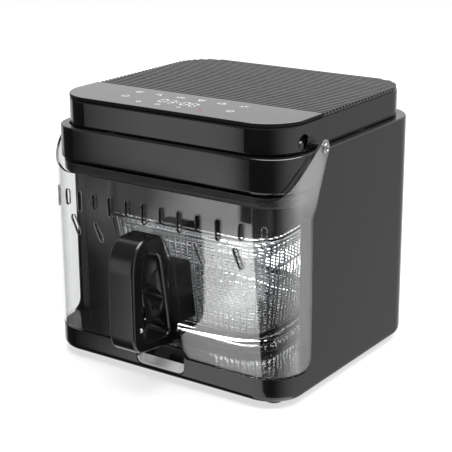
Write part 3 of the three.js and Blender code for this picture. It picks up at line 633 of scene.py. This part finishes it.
def make_panel():
    """The glossy touch panel: grey on top, with black edges."""
    points = cropped(plan(140.8, -100.8, 155, 42.8, 42.8, 28), PANEL_SPLIT - PANEL_GAP)
    made = piece("touch_panel", *prism(points, PANEL_TOP - 3.9, PANEL_TOP), PANEL, "chassis", "control_panel")
    made.data.materials.append(EDGE_BLACK)
    for face in made.data.polygons:
        face.material_index = 0 if face.normal.z > 0.5 else 1
    soften(made, 0.9, 4)


ICON_LOW, ICON_HIGH = PANEL_TOP - 0.1, PANEL_TOP + 0.1
ICON_ROW, DIGIT_ROW, TOUCH_ROW = -46, -67, -83
SEGMENTS = ("abcdef", "bc", "abged", "abgcd", "fgbc", "afgcd", "afgedc", "abc", "abcdefg", "abcdfg")


def stroke(x0, y0, x1, y1, width=1.1):
    """A straight flat mark between two points."""
    along = Vector((x1 - x0, y1 - y0)).normalized()
    u, v = -along.y * width / 2, along.x * width / 2
    outline = [(x0 - u, y0 - v), (x1 - u, y1 - v), (x1 + u, y1 + v), (x0 + u, y0 + v)]
    return prism(outline, ICON_LOW, ICON_HIGH)


def strokes(x, y, points):
    """Flat marks along a run of points, given from a middle at x, y."""
    return [stroke(x + a, y + b, x + c, y + d) for (a, b), (c, d) in zip(points, points[1:])]


def hoop(x, y, r, width=0.9):
    """A flat ring mark."""
    inner = r - width
    ring = [(inner, ICON_LOW), (r, ICON_LOW), (r, ICON_HIGH), (inner, ICON_HIGH), (inner, ICON_LOW)]
    return turned(ring, 28, (x, y, 0))


def digit(number, x, y):
    """A seven-segment digit, 7 wide and 12 tall."""
    w, h = 3.4, 6
    ends = {"a": (-w, h, w, h), "b": (w, h, w, 0), "c": (w, 0, w, -h), "d": (-w, -h, w, -h),
            "e": (-w, 0, -w, -h), "f": (-w, h, -w, 0), "g": (-w, 0, w, 0)}
    marks = []
    for key in SEGMENTS[number]:
        x0, y0, x1, y1 = ends[key]
        short = 0.9 if x0 != x1 else 0
        drop = 0.9 if x0 == x1 else 0
        marks.append(stroke(x + x0 + short, y + y0 - drop, x + x1 - short, y + y1 + drop, 1.4))
    return marks


def food_icon(kind, x, y):
    """Six plain cooking symbols: chips, a drumstick, a fish, a slice, a cake and a skewer."""
    if kind == 0:
        tub = strokes(x, y, [(-3, -0.8), (3, -0.8), (2, -4), (-2, -4), (-3, -0.8)])
        return tub + [stroke(x + i, y - 1, x + i * 1.5, y + 3.6, 0.9) for i in (-2, 0, 2)]
    if kind == 1:
        return [hoop(x - 1, y + 1, 3), stroke(x + 1, y - 1, x + 4, y - 4, 1.4)]
    if kind == 2:
        return [hoop(x - 1, y, 2.7)] + strokes(x, y, [(1.4, 0), (4.6, 2.4), (4.6, -2.4), (1.4, 0)])
    if kind == 3:
        return [hoop(x, y + 0.6, 1.2, 0.6)] + strokes(x, y, [(-4, 3), (4, 3), (0, -4), (-4, 3)])
    if kind == 4:
        cake = strokes(x, y, [(-4, -3), (4, -3), (4, 1.4), (-4, 1.4), (-4, -3)])
        return cake + [stroke(x, y + 1.4, x, y + 4.4, 0.9)]
    return [stroke(x - 4.6, y - 3, x + 4.6, y + 3, 0.7), hoop(x - 1.6, y - 1, 1.7, 0.8),
            hoop(x + 1.8, y + 1.2, 1.7, 0.8)]


def make_icons():
    """Plain white marks on the touch panel: a clock, six cooking symbols and the touch keys."""
    marks = []
    for kind in range(6):
        marks += food_icon(kind, -69 + 26.1 * kind, ICON_ROW)
    for number, x in ((0, -22), (3, -11.5), (0, 5), (0, 15.5)):
        marks += digit(number, x, DIGIT_ROW)
    marks += [hoop(-3.2, DIGIT_ROW + 2.4, 0.9, 0.8), hoop(-3.2, DIGIT_ROW - 2.4, 0.9, 0.8)]
    for x in (-69, 61):
        marks += [hoop(x, -69.5, 4), stroke(x - 1.8, -69.5, x + 1.8, -69.5, 0.9)]
    marks.append(stroke(61, -71.3, 61, -67.7, 0.9))
    marks += [hoop(-41, TOUCH_ROW, 2.6), stroke(-41, TOUCH_ROW, -41, TOUCH_ROW + 1.8, 0.8)]
    marks += [hoop(-17, TOUCH_ROW, 2.6), stroke(-17, TOUCH_ROW - 1.6, -17, TOUCH_ROW - 4, 0.9)]
    marks += [stroke(5.6, TOUCH_ROW, 11, TOUCH_ROW), stroke(8.3, TOUCH_ROW - 2.7, 8.3, TOUCH_ROW + 2.7)]
    piece("panel_icons", *merged(*marks), ICON_WHITE, "chassis", smooth=False)
    power = [hoop(34, TOUCH_ROW + 1, 4, 1.1), stroke(34, TOUCH_ROW + 1.4, 34, TOUCH_ROW + 5.4, 1.1)]
    piece("power_icon", *merged(*power), ICON_RED, "chassis", smooth=False)


RIB_PITCH, RIB_TOP, RIB_LOW, RIB_BASE = 6.3, 283.6, 280.9, 280.1
RIBS_BACK = 153.6


def half_width(y, half, back, r):
    """Half the width, at a distance behind its middle, of a plate with rounded corners."""
    over = y - (back - r)
    return half if over <= 0 else half - r + math.sqrt(max(0, r * r - over * over))


def make_ribs():
    """The ribbed cover: narrow rounded ribs across the lid, with grooves between them."""
    rib = [(0, RIB_LOW), (2.9, RIB_LOW), (3.1, RIB_TOP - 0.5), (3.4, RIB_TOP - 0.1), (3.8, RIB_TOP),
           (5.6, RIB_TOP), (6.0, RIB_TOP - 0.1), (6.2, RIB_TOP - 0.5)]
    profile = []
    start = PANEL_SPLIT + PANEL_GAP
    while start < RIBS_BACK - 0.2:
        profile += [(start + y, z) for y, z in rib if start + y < RIBS_BACK - 0.1]
        start += RIB_PITCH
    rows = []
    for y, z in profile + [(RIBS_BACK, RIB_LOW)]:
        w = half_width(y, 139.8, 153.8, 41.8)
        rows.append([(-w, y, RIB_BASE)] + [(x, y, z) for x in (-w, -w + 0.5, -w / 2, 0, w / 2, w - 0.5, w)]
                    + [(w, y, RIB_BASE)])
    sharpen(piece("ribbed_top", *loft(rows), RIBBED, "chassis", "ribbed_cover"), 28)


# ---------- guard ----------

GUARD_HALF, GUARD_FRONT, GUARD_R, GUARD_WALL = 150.6, -111.6, 37, 2.8
GUARD_BOTTOM, GUARD_TOP, GUARD_FILLET = 34.5, 205.3, 12
ARM_TOP = [(-113, GUARD_TOP), (-112, GUARD_TOP), (-111, 207), (-108, 210.4), (-104, 213.4), (-98, 218.6),
           (-92, 224.2), (-80, 235.5), (-62.2, 247.5), (-47.5, 257.6)]
ARM_BACK = [(-60.5, 188), (-57.5, 192.6), (-54.2, 198), (-51, 206), (-42, 228), (-32.2, 250.4)]
ARM_END = -31.5
BOSS = 8.5
ARCH_TOP = 160.5


def arm_top(y):
    """The height of the arm's upper edge, which ends in a round boss about the pivot."""
    if y < ARM_TOP[-1][0]:
        return interpolate(ARM_TOP, y)
    return PIVOT[1] + math.sqrt(max(0, BOSS ** 2 - (y - PIVOT[0]) ** 2))


def arm_back(y):
    """The height of the arm's lower edge, which ends in the same boss."""
    if y <= ARM_BACK[-1][0]:
        return interpolate(ARM_BACK, y)
    return PIVOT[1] - math.sqrt(max(0, BOSS ** 2 - (y - PIVOT[0]) ** 2))


def arch_points():
    """Half of the arch round the handle, from its top outwards: (x, height)."""
    return outline((0, ARCH_TOP), ((8, ARCH_TOP), (15, 141), 12), ((22.5, 122), (25.5, 95), 10), (27, 78),
                   (28.1, 64), (29, 52), ((30, 38), (40, GUARD_BOTTOM), 8))[1:]


SLOT_HALF = 2.8
SLOT_PLACES = (-134, -116, -99.7, -80, -58.9, -36.9, -15.8, 6.6, 28.3, 50.7, 74.6, 101.6, 127)
SLOT_TOP, SLOT_TALL, SLOT_SHORT = 188, 22, 17
VENTS, VENT_LEAN = ((-106, 151), (-75, 148), (52, 148), (98, 152)), 0.42
SLOT_DEPTH = 8
BEAD_R, BEAD_PROUD = 0.5, 0.1


def slot_tool(height, angle, x, turn, z):
    """A rounded slot that passes through the guard's wall, leaning by an angle.

    Where a turn is given, the slot is turned by it about the guard's corner."""
    outline = []
    for k in range(13):
        a = math.pi * k / 12
        outline.append((SLOT_HALF * math.cos(a), height / 2 - SLOT_HALF + SLOT_HALF * math.sin(a)))
    outline += [(-u, -v) for u, v in outline]
    leaning = [(u * math.cos(angle) - v * math.sin(angle), u * math.sin(angle) + v * math.cos(angle))
               for u, v in outline]
    if turn is None:
        return loft([[(x + u, GUARD_FRONT + depth, z + v) for u, v in leaning]
                     for depth in (-SLOT_DEPTH, SLOT_DEPTH)])
    middle = math.copysign(GUARD_HALF - GUARD_R, x)
    c, s = math.cos(turn), math.sin(turn)
    return loft([[(middle + u * c + r * s, GUARD_FRONT + GUARD_R + u * s - r * c, z + v) for u, v in leaning]
                 for r in (GUARD_R + SLOT_DEPTH, GUARD_R - SLOT_DEPTH)])


def guard_slots():
    """One solid for each slot in the guard: a row of upright ones, and four leaning ones lower down."""
    tools = []
    flat = GUARD_HALF - GUARD_R
    for i, s in enumerate(SLOT_PLACES):
        height = SLOT_TALL if i % 2 == 0 else SLOT_SHORT
        over = abs(s) - flat
        turn = None if over <= 0 else math.copysign(over / GUARD_R, s)
        tools.append(slot_tool(height, 0, s, turn, SLOT_TOP - height / 2))
    return tools + [slot_tool(SLOT_TALL, VENT_LEAN, x, None, z) for x, z in VENTS]


def make_guard():
    """The clear guard: a curved sheet with an arch for the handle, slots, and an arm at each side."""
    arch = arch_points()
    xs = [x for x, _ in arch] + [-x for x, _ in arch[1:]] + [-80, -60, 60, 80]
    back = EDGE_Y - 1
    fillet = []
    for k in range(9):
        a = math.pi / 2 * k / 8
        fillet.append((back - GUARD_FILLET * (1 - math.sin(a)),
                       GUARD_BOTTOM + GUARD_FILLET * (1 - math.cos(a))))
    arm = [-57.5, -54.2, -51, -47.5, -44, -42, -40, -37, -34.5, -32.8, -32.2, -31.8, ARM_END]
    points = plan(GUARD_HALF, GUARD_FRONT, 60, GUARD_R, 20, 32, xs, [y for y, _ in fillet] + arm)
    heights = {round(y, 4): z for y, z in fillet}
    arch_at = {round(x, 4): z for x, z in arch}

    def low(col):
        x, y = col[0], col[1]
        if y < GUARD_FRONT + 0.01 and round(abs(x), 4) in arch_at:
            return arch_at[round(abs(x), 4)]
        return heights.get(round(y, 4), GUARD_BOTTOM)

    def main(col):
        a, b = low(col), arm_top(col[1])
        return [(0, z) for z in (a, a + (188 - a) * 0.33, a + (188 - a) * 0.66, 188, 196, b)]

    def arms(col):
        a, b = arm_back(col[1]), arm_top(col[1])
        if col[1] < EDGE_Y - 0.9:
            return [(0, 188), (0, 196), (0, b)]
        return [(0, a), (0, a + (b - a) * 0.3), (0, b)]

    front_run = rows_of(part_of(points, lambda p: p[1] <= back + 1e-6), main)
    rear = [p for p in points if back - 1e-6 <= p[1] <= ARM_END + 0.1]
    left = [p for p in rear if p[0] < 0]
    right = [p for p in rear if p[0] > 0]
    verts, faces = walls((front_run, False), (rows_of(left, arms), False), (rows_of(right, arms), False))
    made = piece("guard_shell", verts, faces, CLEAR_PLASTIC, "guard", "clear_guard")
    # the rim faces and, below, the slot walls take the black of painted shade
    made.data.materials.append(SHADED_CUT_EDGE)
    thicken(made, GUARD_WALL).modifiers["wall"].material_offset_rim = 1
    apply_all(made)
    cutter = loose("slots", *merged(*guard_slots()))
    for material in (CLEAR_PLASTIC, SHADED_CUT_EDGE):
        cutter.data.materials.append(material)
    for face in cutter.data.polygons:
        face.material_index = 1
    carve(made, cutter)
    soften(made, 0.35, 2, 50)


def make_slot_beads():
    """A small rounded bead round each slot, on the guard's outer face."""
    parts = []
    for verts, _ in guard_slots():
        count = len(verts) // 2
        share = BEAD_PROUD / (2 * SLOT_DEPTH)
        ring = [Vector(a) * (0.5 - share) + Vector(b) * (0.5 + share)
                for a, b in zip(verts[count:], verts[:count])]
        parts.append(tube(ring, BEAD_R, 6, True))
    piece("slot_beads", *merged(*parts), CLEAR_PLASTIC, "guard")


def make_pivots():
    """The ring-headed pin that each arm turns on."""
    profile = [(0, 137), (2.4, 137), (2.4, 150.9), (4.4, 150.9), (5, 151.3), (5, 152.3), (4.4, 152.9),
               (3.1, 152.9), (2.6, 152.4), (2.4, 151.6), (0, 151.6)]
    for side, name in ((-1, "pivot_screw_left"), (1, "pivot_screw_right")):
        pin = mirrored(side, *turned(profile, 40, (0, *PIVOT), "X"))
        sharpen(piece(name + "_pin", *pin, PIN_STEEL, "guard", name))


# ---------- bowl unit ----------

BOWL_BOTTOM, BOWL_TOP = 33.4, 157.5


def square_ring(half, r, z, steps=14):
    """A level rounded square round the bowl's axis."""
    return [(x, y, z) for x, y, _, _ in plan(half, BOWL_Y - half, BOWL_Y + half, r, r, steps)[1:]]


def bowl_half(z):
    """Half the bowl's width at a height: its walls lean out by 16 mm from bottom to top."""
    return 90 + 16 * (z - BOWL_BOTTOM - 5) / (BOWL_TOP - BOWL_BOTTOM - 5)


def make_bowl():
    """The glass bowl, as level loops (half width, corner radius, height): up outside, down inside."""
    b, t = BOWL_BOTTOM, BOWL_TOP
    loops = [(60, 20, b + 1.2), (66, 22, b + 0.2), (74, 23, b), (81, 25, b + 0.2), (86, 27, b + 1.6),
             (88.8, 29, b + 3.6), (bowl_half(b + 6), 30, b + 6), (bowl_half(b + 60), 32, b + 60),
             (105.4, 34, t - 3), (105.5, 34, t - 1.3), (104.9, 33.6, t - 0.3), (104, 33, t),
             (102.9, 32, t - 0.4), (102.1, 31, t - 1.5), (101.7, 30.6, t - 3.5),
             (bowl_half(b + 60) - 4, 28.6, b + 60), (bowl_half(b + 20) - 4, 26.5, b + 20),
             (84.6, 25, b + 14.5), (81, 23, b + 11), (76, 20, b + 9.4), (60, 16, b + 9)]
    shell = loft([square_ring(*loop) for loop in loops])
    sharpen(piece("bowl_shell", *shell, BOWL_GLASS, "bowl_unit", "glass_bowl"), 60)


def tube(points, radius, sides=6, closed=False):
    """A wire along a run of points."""
    loops = []
    count = len(points)
    for i, p in enumerate(points):
        p = Vector(p)
        before = Vector(points[(i - 1) % count]) if closed or i > 0 else p
        after = Vector(points[(i + 1) % count]) if closed or i < count - 1 else p
        along = (after - before).normalized()
        side = along.cross(Vector((0, 0, 1)))
        if side.length < 0.2:
            side = along.cross(Vector((0.3, 1, 0)))
        side.normalize()
        other = along.cross(side)
        around = [2 * math.pi * k / sides for k in range(sides)]
        loops.append([tuple(p + radius * (math.cos(a) * side + math.sin(a) * other)) for a in around])
    return loft(loops, closed)


def spaced(points, pitch):
    """Points a fixed distance apart along a closed loop."""
    loop = [Vector(p) for p in points]
    total = loop_length(loop)
    count = round(total / pitch)
    step, found, walked, target = total / count, [], 0.0, 0.0
    for i in range(len(loop)):
        a, b = loop[i - 1], loop[i]
        span = (b - a).length
        while span > 0 and target <= walked + span and len(found) < count:
            found.append(tuple(a + (b - a) * ((target - walked) / span)))
            target += step
        walked += span
    return found


WIRE_PITCH, WIRE_R, THIN_R, RIM_R = 7.6, 0.8, 0.55, 1.3
BASKET_LOW, BASKET_HIGH = 50, 147
LEVEL_LOW, LEVEL_PITCH, LEVEL_COUNT = 53, 3.1, 18
FLOOR_PITCH, FLOOR_HALF = 7.7, 81


def basket_loop(z):
    """The basket's wall at one height."""
    share = (z - BASKET_LOW) / 95
    return square_ring(84 + 11.6 * share, 24 + 4 * share, z, 8)


def loop_length(points):
    """The length of a closed loop."""
    return sum((Vector(points[i]) - Vector(points[i - 1])).length for i in range(len(points)))


def make_basket():
    """Upright wires, fine level wires low down, a double rim and a wire floor."""
    parts = [tube(basket_loop(147.4), RIM_R, 8, True), tube(basket_loop(142.6), 0.9, 6, True)]
    upper = spaced(basket_loop(BASKET_HIGH), WIRE_PITCH)
    bottom = basket_loop(BASKET_LOW)
    lower = spaced(bottom, loop_length(bottom) / len(upper))
    for a, b in zip(upper, lower):
        inward = Vector((-b[0], BOWL_Y - b[1], 0)).normalized()
        end = Vector(b) + inward * 3 + Vector((0, 0, -2.6))
        parts.append(tube([a, b, tuple(end)], WIRE_R, 6))
    for k in range(LEVEL_COUNT):
        parts.append(tube(basket_loop(LEVEL_LOW + LEVEL_PITCH * k), THIN_R, 5, True))
    for k in range(-10, 11):
        x = k * FLOOR_PITCH
        reach = FLOOR_HALF - max(0, abs(x) - 62) * 0.9
        parts.append(tube([(x, BOWL_Y - reach, 47.6), (x, BOWL_Y + reach, 47.6)], WIRE_R, 6))
        parts.append(tube([(-reach, BOWL_Y + x, 48.9), (reach, BOWL_Y + x, 48.9)], WIRE_R, 6))
    parts.append(tube(square_ring(80, 21, 47.8, 8), 1.0, 6, True))
    piece("basket_wires", *merged(*parts), WIRE, "bowl_unit", "wire_basket")


RACK_R, RACK_INSET = 22, 1.2


def make_rack(name, z, half):
    """A flat rack: a frame of round wire, wires from side to side and three cross wires."""
    parts = [tube(square_ring(half - RACK_INSET, RACK_R, z + 1.2, 8), 1.25, 8, True)]
    count = int((half - 2) / FLOOR_PITCH)
    for k in range(-count, count + 1):
        y = k * FLOOR_PITCH
        reach = half_width(abs(y), half - RACK_INSET, half - RACK_INSET, RACK_R)
        parts.append(tube([(-reach, BOWL_Y + y, z + 1.9), (reach, BOWL_Y + y, z + 1.9)], 0.7, 6))
    for x in (-52, 0, 52):
        parts.append(tube([(x, BOWL_Y - half + 2, z + 0.8), (x, BOWL_Y + half - 2, z + 0.8)], WIRE_R, 6))
    piece(name + "_wires", *merged(*parts), WIRE, "bowl_unit", name)


def handle_outline():
    """The handle's outer edge seen from the side: (y, z)."""
    return outline((-98, 53), (-98, 122), ((-112, 134), (-117, 150), 8), ((-121, 166), (-131, 166), 10),
                   (-146, 166), ((-169, 165), (-170, 132), 16), (-170, 98), (-170, 69),
                   ((-170, 51), (-154, 50), 12), (-130, 47.2), (-112, 45), ((-98, 45), (-98, 53), 8))[:-1]


def handle_hole():
    """The gap for the fingers seen from the side: (y, z)."""
    return outline((-154, 68), (-154, 95), (-154, 128), ((-153, 150), (-139, 150), 10),
                   ((-127, 149.5), (-124.5, 132), 10), (-119, 98), (-114, 64), ((-112.5, 57), (-121, 57), 8),
                   (-145, 59), ((-154, 59.5), (-154, 68), 8))[:-1]


HANDLE_HALF = 15.5
SCREW_LOW, SCREW_HIGH = 76, 114
WELL_R, CAP_R = 5, 4.96


def on_screw(profile, z, steps):
    """A solid turned about a handle screw's axis from (radius, place along y) points."""
    return turned(profile, steps, (0, 0, z), "Y")


def make_handle():
    """The loop handle: a flat-sided ring with rounded edges, and two wells for its screws."""
    block = across(handle_outline(), -HANDLE_HALF, HANDLE_HALF)
    made = piece("handle_loop", *block, GRIP, "bowl_unit", "handle_grip")
    carve(made, loose("finger", *across(handle_hole(), -HANDLE_HALF - 5, HANDLE_HALF + 5)))
    soften(made, 2.6, 5, 40)
    apply_all(made)
    well = [(0, -140), (WELL_R, -140), (WELL_R, -108), (2.6, -108), (2.6, -90), (0, -90)]
    for z in (SCREW_LOW, SCREW_HIGH):
        carve(made, loose("well", *on_screw(well, z, 32)))
    sharpen(made, 35)


def make_handle_fixings():
    """The bracket between the bowl and the handle, its two screws, their caps and a small side pin."""
    side = [(-97.6, 60)] + [(BOWL_Y - bowl_half(z) - 0.5, z) for z in (60, 92, 124)] + [(-97.6, 118)]
    made = piece("handle_foot", *across(side, -13, 13), GRIP, "bowl_unit", "handle_bracket")
    soften(made, 1.4, 4)
    screw = [(0, -110.2), (1.2, -110.2), (1.5, -110.8), (3.0, -110.8), (4.2, -110.3), (4.5, -109.6),
             (4.5, -108.4), (1.7, -108.4), (1.7, -86), (0, -86)]
    cap = [(0, -112.5), (CAP_R, -112.5), (CAP_R, -140), (0, -140)]
    for place, z in (("upper", SCREW_HIGH), ("lower", SCREW_LOW)):
        name = "handle_screw_" + place
        head = on_screw(screw, z, 28)
        sharpen(piece(name + "_head", *head, DARK_STEEL, "bowl_unit", name))
        made = piece("screw_cap_" + place, *on_screw(cap, z, 32), GRIP, "bowl_unit")
        carve(made, loose("opening", *across(handle_hole(), -20, 20)))
        sharpen(made)
    pin = [(0, 12), (2.3, 12), (2.3, 15.4), (1.9, 15.9), (1.0, 15.9), (0.8, 15.5), (0, 15.5)]
    sharpen(piece("handle_side_pin", *turned(pin, 28, (0, -158, 75), "X"), BRIGHT_STEEL, "bowl_unit"))


# ---------- what the CAD nodes keep ----------

CARRIED = {
    BLACK_INNER: ("bottom_cover", "rear_grille", "display_module", "lamp_housing", "cooling_fan",
                  "door_switch", "hinge_bush_left", "hinge_bush_right"),
    BRIGHT_STEEL: ("heater_bridge", "fan_guard", "temperature_probe", "motor_bracket", "motor_shaft",
                   "fan_nut", "interlock_plunger", "hinge_bracket_left", "hinge_bracket_right"),
    BOARD: ("control_board", "power_board"), ALUMINIUM: ("thermal_cutout", "cooking_fan"),
    RUBBER: ("cord_gland",), REFLECTOR: ("reflector_plate",), HEATER: ("heater_coil",),
    LENS: ("lamp_lens",), MOTOR: ("motor_can",),
}


def dress_carried():
    """Gives each CAD node that stays visible a material of its own."""
    for material, names in CARRIED.items():
        for name in names:
            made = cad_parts[name]
            made.data.materials.clear()
            made.data.materials.append(material)


# ---------- studio ----------


FLOOR_HALF_SIZE = 6


def make_studio():
    """A pale floor that doesn't show in the gloss, the lamps and the room that the gloss mirrors."""
    s = FLOOR_HALF_SIZE / MM
    floor = loose("floor", [(-s, -s, 0), (s, -s, 0), (s, s, 0), (-s, s, 0)], [(0, 1, 2, 3)])
    floor.data.materials.append(surface("studio_floor", (0.22, 0.22, 0.22), (0.6, 0.7), change=0.01,
                                        Emission_Color=(1, 1, 1, 1), Emission_Strength=0.66))
    floor.visible_glossy = False
    floor.visible_transmission = False
    lamp("overhead", (0.35, 0.2, 1.9), (0.05, 0, 0), (2.4, 2.4), 170)
    lamp("over_bowl", (0, 0.03, 0.187), (0, 0.03, 0), (0.17, 0.17), 0.35, through=False)
    lamp("cavity_glow", (0, 0.1372, 0.124), (0, 0.2, 0.124), (0.245, 0.165), 1.0, False, False)
    make_world()


def lamp(name, at, target, size, power, mirrored_in=True, through=True):
    """A square lamp that the camera doesn't see, and that may be hidden from mirrors and clear walls."""
    data = bpy.data.lights.new(name, "AREA")
    data.shape = "RECTANGLE"
    data.size, data.size_y = size
    data.energy = power
    made = bpy.data.objects.new(name, data)
    SCENE.collection.objects.link(made)
    made.location = at
    made.rotation_mode = "QUATERNION"
    made.rotation_quaternion = (Vector(target) - Vector(at)).to_track_quat("-Z", "Y")
    made.visible_camera = False
    made.visible_glossy = mirrored_in
    made.visible_transmission = through


# The room as a mirror sees it. A direction has a turn, in degrees from the front towards the right side, and
# points down by 0 (level) to 1. A pair is where a smooth step begins and ends. The head mirrors directions
# above BELOW_HEAD, the guard's top band those down to BELOW_BAND, and the guard and base below it the rest.
BELOW_HEAD, BELOW_BAND = (0.25, 0.27), (0.28, 0.31)
SOFTBOX, ROOM, DARK = 1.85, 1.0, 0.05
# the box's left edge and its softness on the head, and what is added below the head and below the band
LEFT_EDGE, LEFT_BELOW_HEAD, LEFT_BELOW_BAND = -41.45, 3.85, -0.8
SOFT_EDGE, SOFT_BELOW_HEAD, SOFT_BELOW_BAND = 0.15, 1.65, 1.1
# the box's right edge, which leans over from a height on
RIGHT_EDGE, RIGHT_LEAN, LEAN_FROM, RIGHT_SOFT = -34.55, 330, 0.3, 0.35
# a faint glow left of the box, in the band only
GLOW, GLOW_TURN = 0.12, (-46, -41.5)
# the base's rim shows more of the box, below a sloping line
RIM_TURN, RIM_DOWN, RIM_RISE, RIM_SOFT, RIM_LEFT = 38.27, 0.3917, 0.00484, 0.0008, (-43, -38.5)
# on the head the box is dimmer, and fades towards the left
HEAD_DIM, HEAD_FADE, HEAD_TURN = 0.4, 0.45, (-41.8, -38.4)
# the brightest part of the box, low in its middle
CORE, CORE_TOP, CORE_BOTTOM, CORE_LEFT = 1.8, (0.3, 0.325), (0.365, 0.385), (-37.4, -35.8)
# the pale walls, and what lies above level
LEFT_WALL, RIGHT_WALL, RIGHT_LEVEL = (-102, -90), (30, 100), 1.15
RIGHT_REAR, REAR_LOSS = (108, 165), 0.68
UPPER, UPPER_FRONT, UPPER_RIGHT, UPPER_FROM = 0.95, 0.25, (25, 110), (0.0, 0.25)
BACKGROUND = 1.1


def make_world():
    """A pale room with a soft box on the front left and a dark side towards the front right."""
    world = bpy.data.worlds.new("studio")
    world.use_nodes = True
    tree = world.node_tree

    def calc(operation, *values):
        return math_node(tree, operation, *values)

    def ramp(value, ends):
        return step_up(tree, value, *ends)

    def rest(value):
        return calc("SUBTRACT", 1, value)

    where = node(tree, "ShaderNodeTexCoord").outputs["Generated"]
    x, y, z = node(tree, "ShaderNodeSeparateXYZ", Vector=where).outputs
    turn = calc("DEGREES", calc("ARCTAN2", x, calc("MULTIPLY", y, -1)))
    down = calc("MULTIPLY", z, -1)
    lower, deeper = ramp(down, BELOW_HEAD), ramp(down, BELOW_BAND)
    left = calc("MULTIPLY_ADD", lower, LEFT_BELOW_HEAD, LEFT_EDGE)
    left = calc("MULTIPLY_ADD", deeper, LEFT_BELOW_BAND, left)
    soft = calc("MULTIPLY_ADD", lower, SOFT_BELOW_HEAD, SOFT_EDGE)
    soft = calc("MULTIPLY_ADD", deeper, SOFT_BELOW_BAND, soft)
    box = ramp(turn, (calc("SUBTRACT", left, soft), calc("ADD", left, soft)))
    glow = calc("MULTIPLY", ramp(turn, GLOW_TURN), GLOW)
    box = calc("MAXIMUM", box, calc("MULTIPLY", glow, calc("SUBTRACT", lower, deeper)))
    rim_top = calc("MULTIPLY_ADD", calc("ADD", turn, RIM_TURN), RIM_RISE, RIM_DOWN)
    rim = ramp(calc("SUBTRACT", down, rim_top), (-RIM_SOFT, RIM_SOFT))
    box = calc("MAXIMUM", box, calc("MULTIPLY", rim, ramp(turn, RIM_LEFT)))
    fade = calc("MULTIPLY_ADD", ramp(turn, HEAD_TURN), HEAD_FADE, HEAD_DIM)
    box = calc("MULTIPLY", box, rest(calc("MULTIPLY", rest(lower), rest(fade))))
    leaning = calc("MAXIMUM", calc("SUBTRACT", down, LEAN_FROM), 0)
    right = calc("MULTIPLY_ADD", leaning, RIGHT_LEAN, RIGHT_EDGE)
    box = calc("MULTIPLY", box, rest(ramp(turn, (right, calc("ADD", right, RIGHT_SOFT)))))
    core = calc("MULTIPLY", ramp(down, CORE_TOP), rest(ramp(down, CORE_BOTTOM)))
    core = calc("MULTIPLY", core, ramp(turn, CORE_LEFT))
    level = calc("MULTIPLY_ADD", core, CORE, SOFTBOX)
    wall_left = rest(ramp(turn, LEFT_WALL))
    wall_right = calc("MULTIPLY", ramp(turn, RIGHT_WALL), RIGHT_LEVEL)
    wall_right = calc("MULTIPLY_ADD", ramp(turn, RIGHT_REAR), -REAR_LOSS, wall_right)
    room = calc("MULTIPLY_ADD", calc("ADD", wall_left, wall_right), ROOM, DARK)
    low = calc("MULTIPLY_ADD", box, level, room)
    sides = calc("ADD", wall_left, ramp(turn, UPPER_RIGHT))
    upper = calc("MULTIPLY_ADD", sides, UPPER - UPPER_FRONT, UPPER_FRONT)
    high = ramp(z, UPPER_FROM)
    mixed = calc("ADD", calc("MULTIPLY", high, upper), calc("MULTIPLY", rest(high), low))
    seen = node(tree, "ShaderNodeLightPath").outputs["Is Camera Ray"]
    shown = calc("ADD", calc("MULTIPLY", seen, BACKGROUND), calc("MULTIPLY", rest(seen), mixed))
    tree.links.new(shown, tree.nodes["Background"].inputs["Strength"])
    tree.nodes["Background"].inputs["Color"].default_value = (1, 1, 1, 1)
    SCENE.world = world


for make in (make_camera, make_housing, make_base_deck, make_feet, make_liner, make_fascia, make_head_floor,
             make_lid, make_panel, make_icons, make_ribs, make_guard, make_slot_beads, make_pivots, make_bowl,
             make_basket):
    make()
make_rack("lower_rack", 112, 84)
make_rack("upper_rack", 130, 86)
make_handle()
make_handle_fixings()
dress_carried()
make_studio()
SCENE.view_settings.view_transform = "Standard"
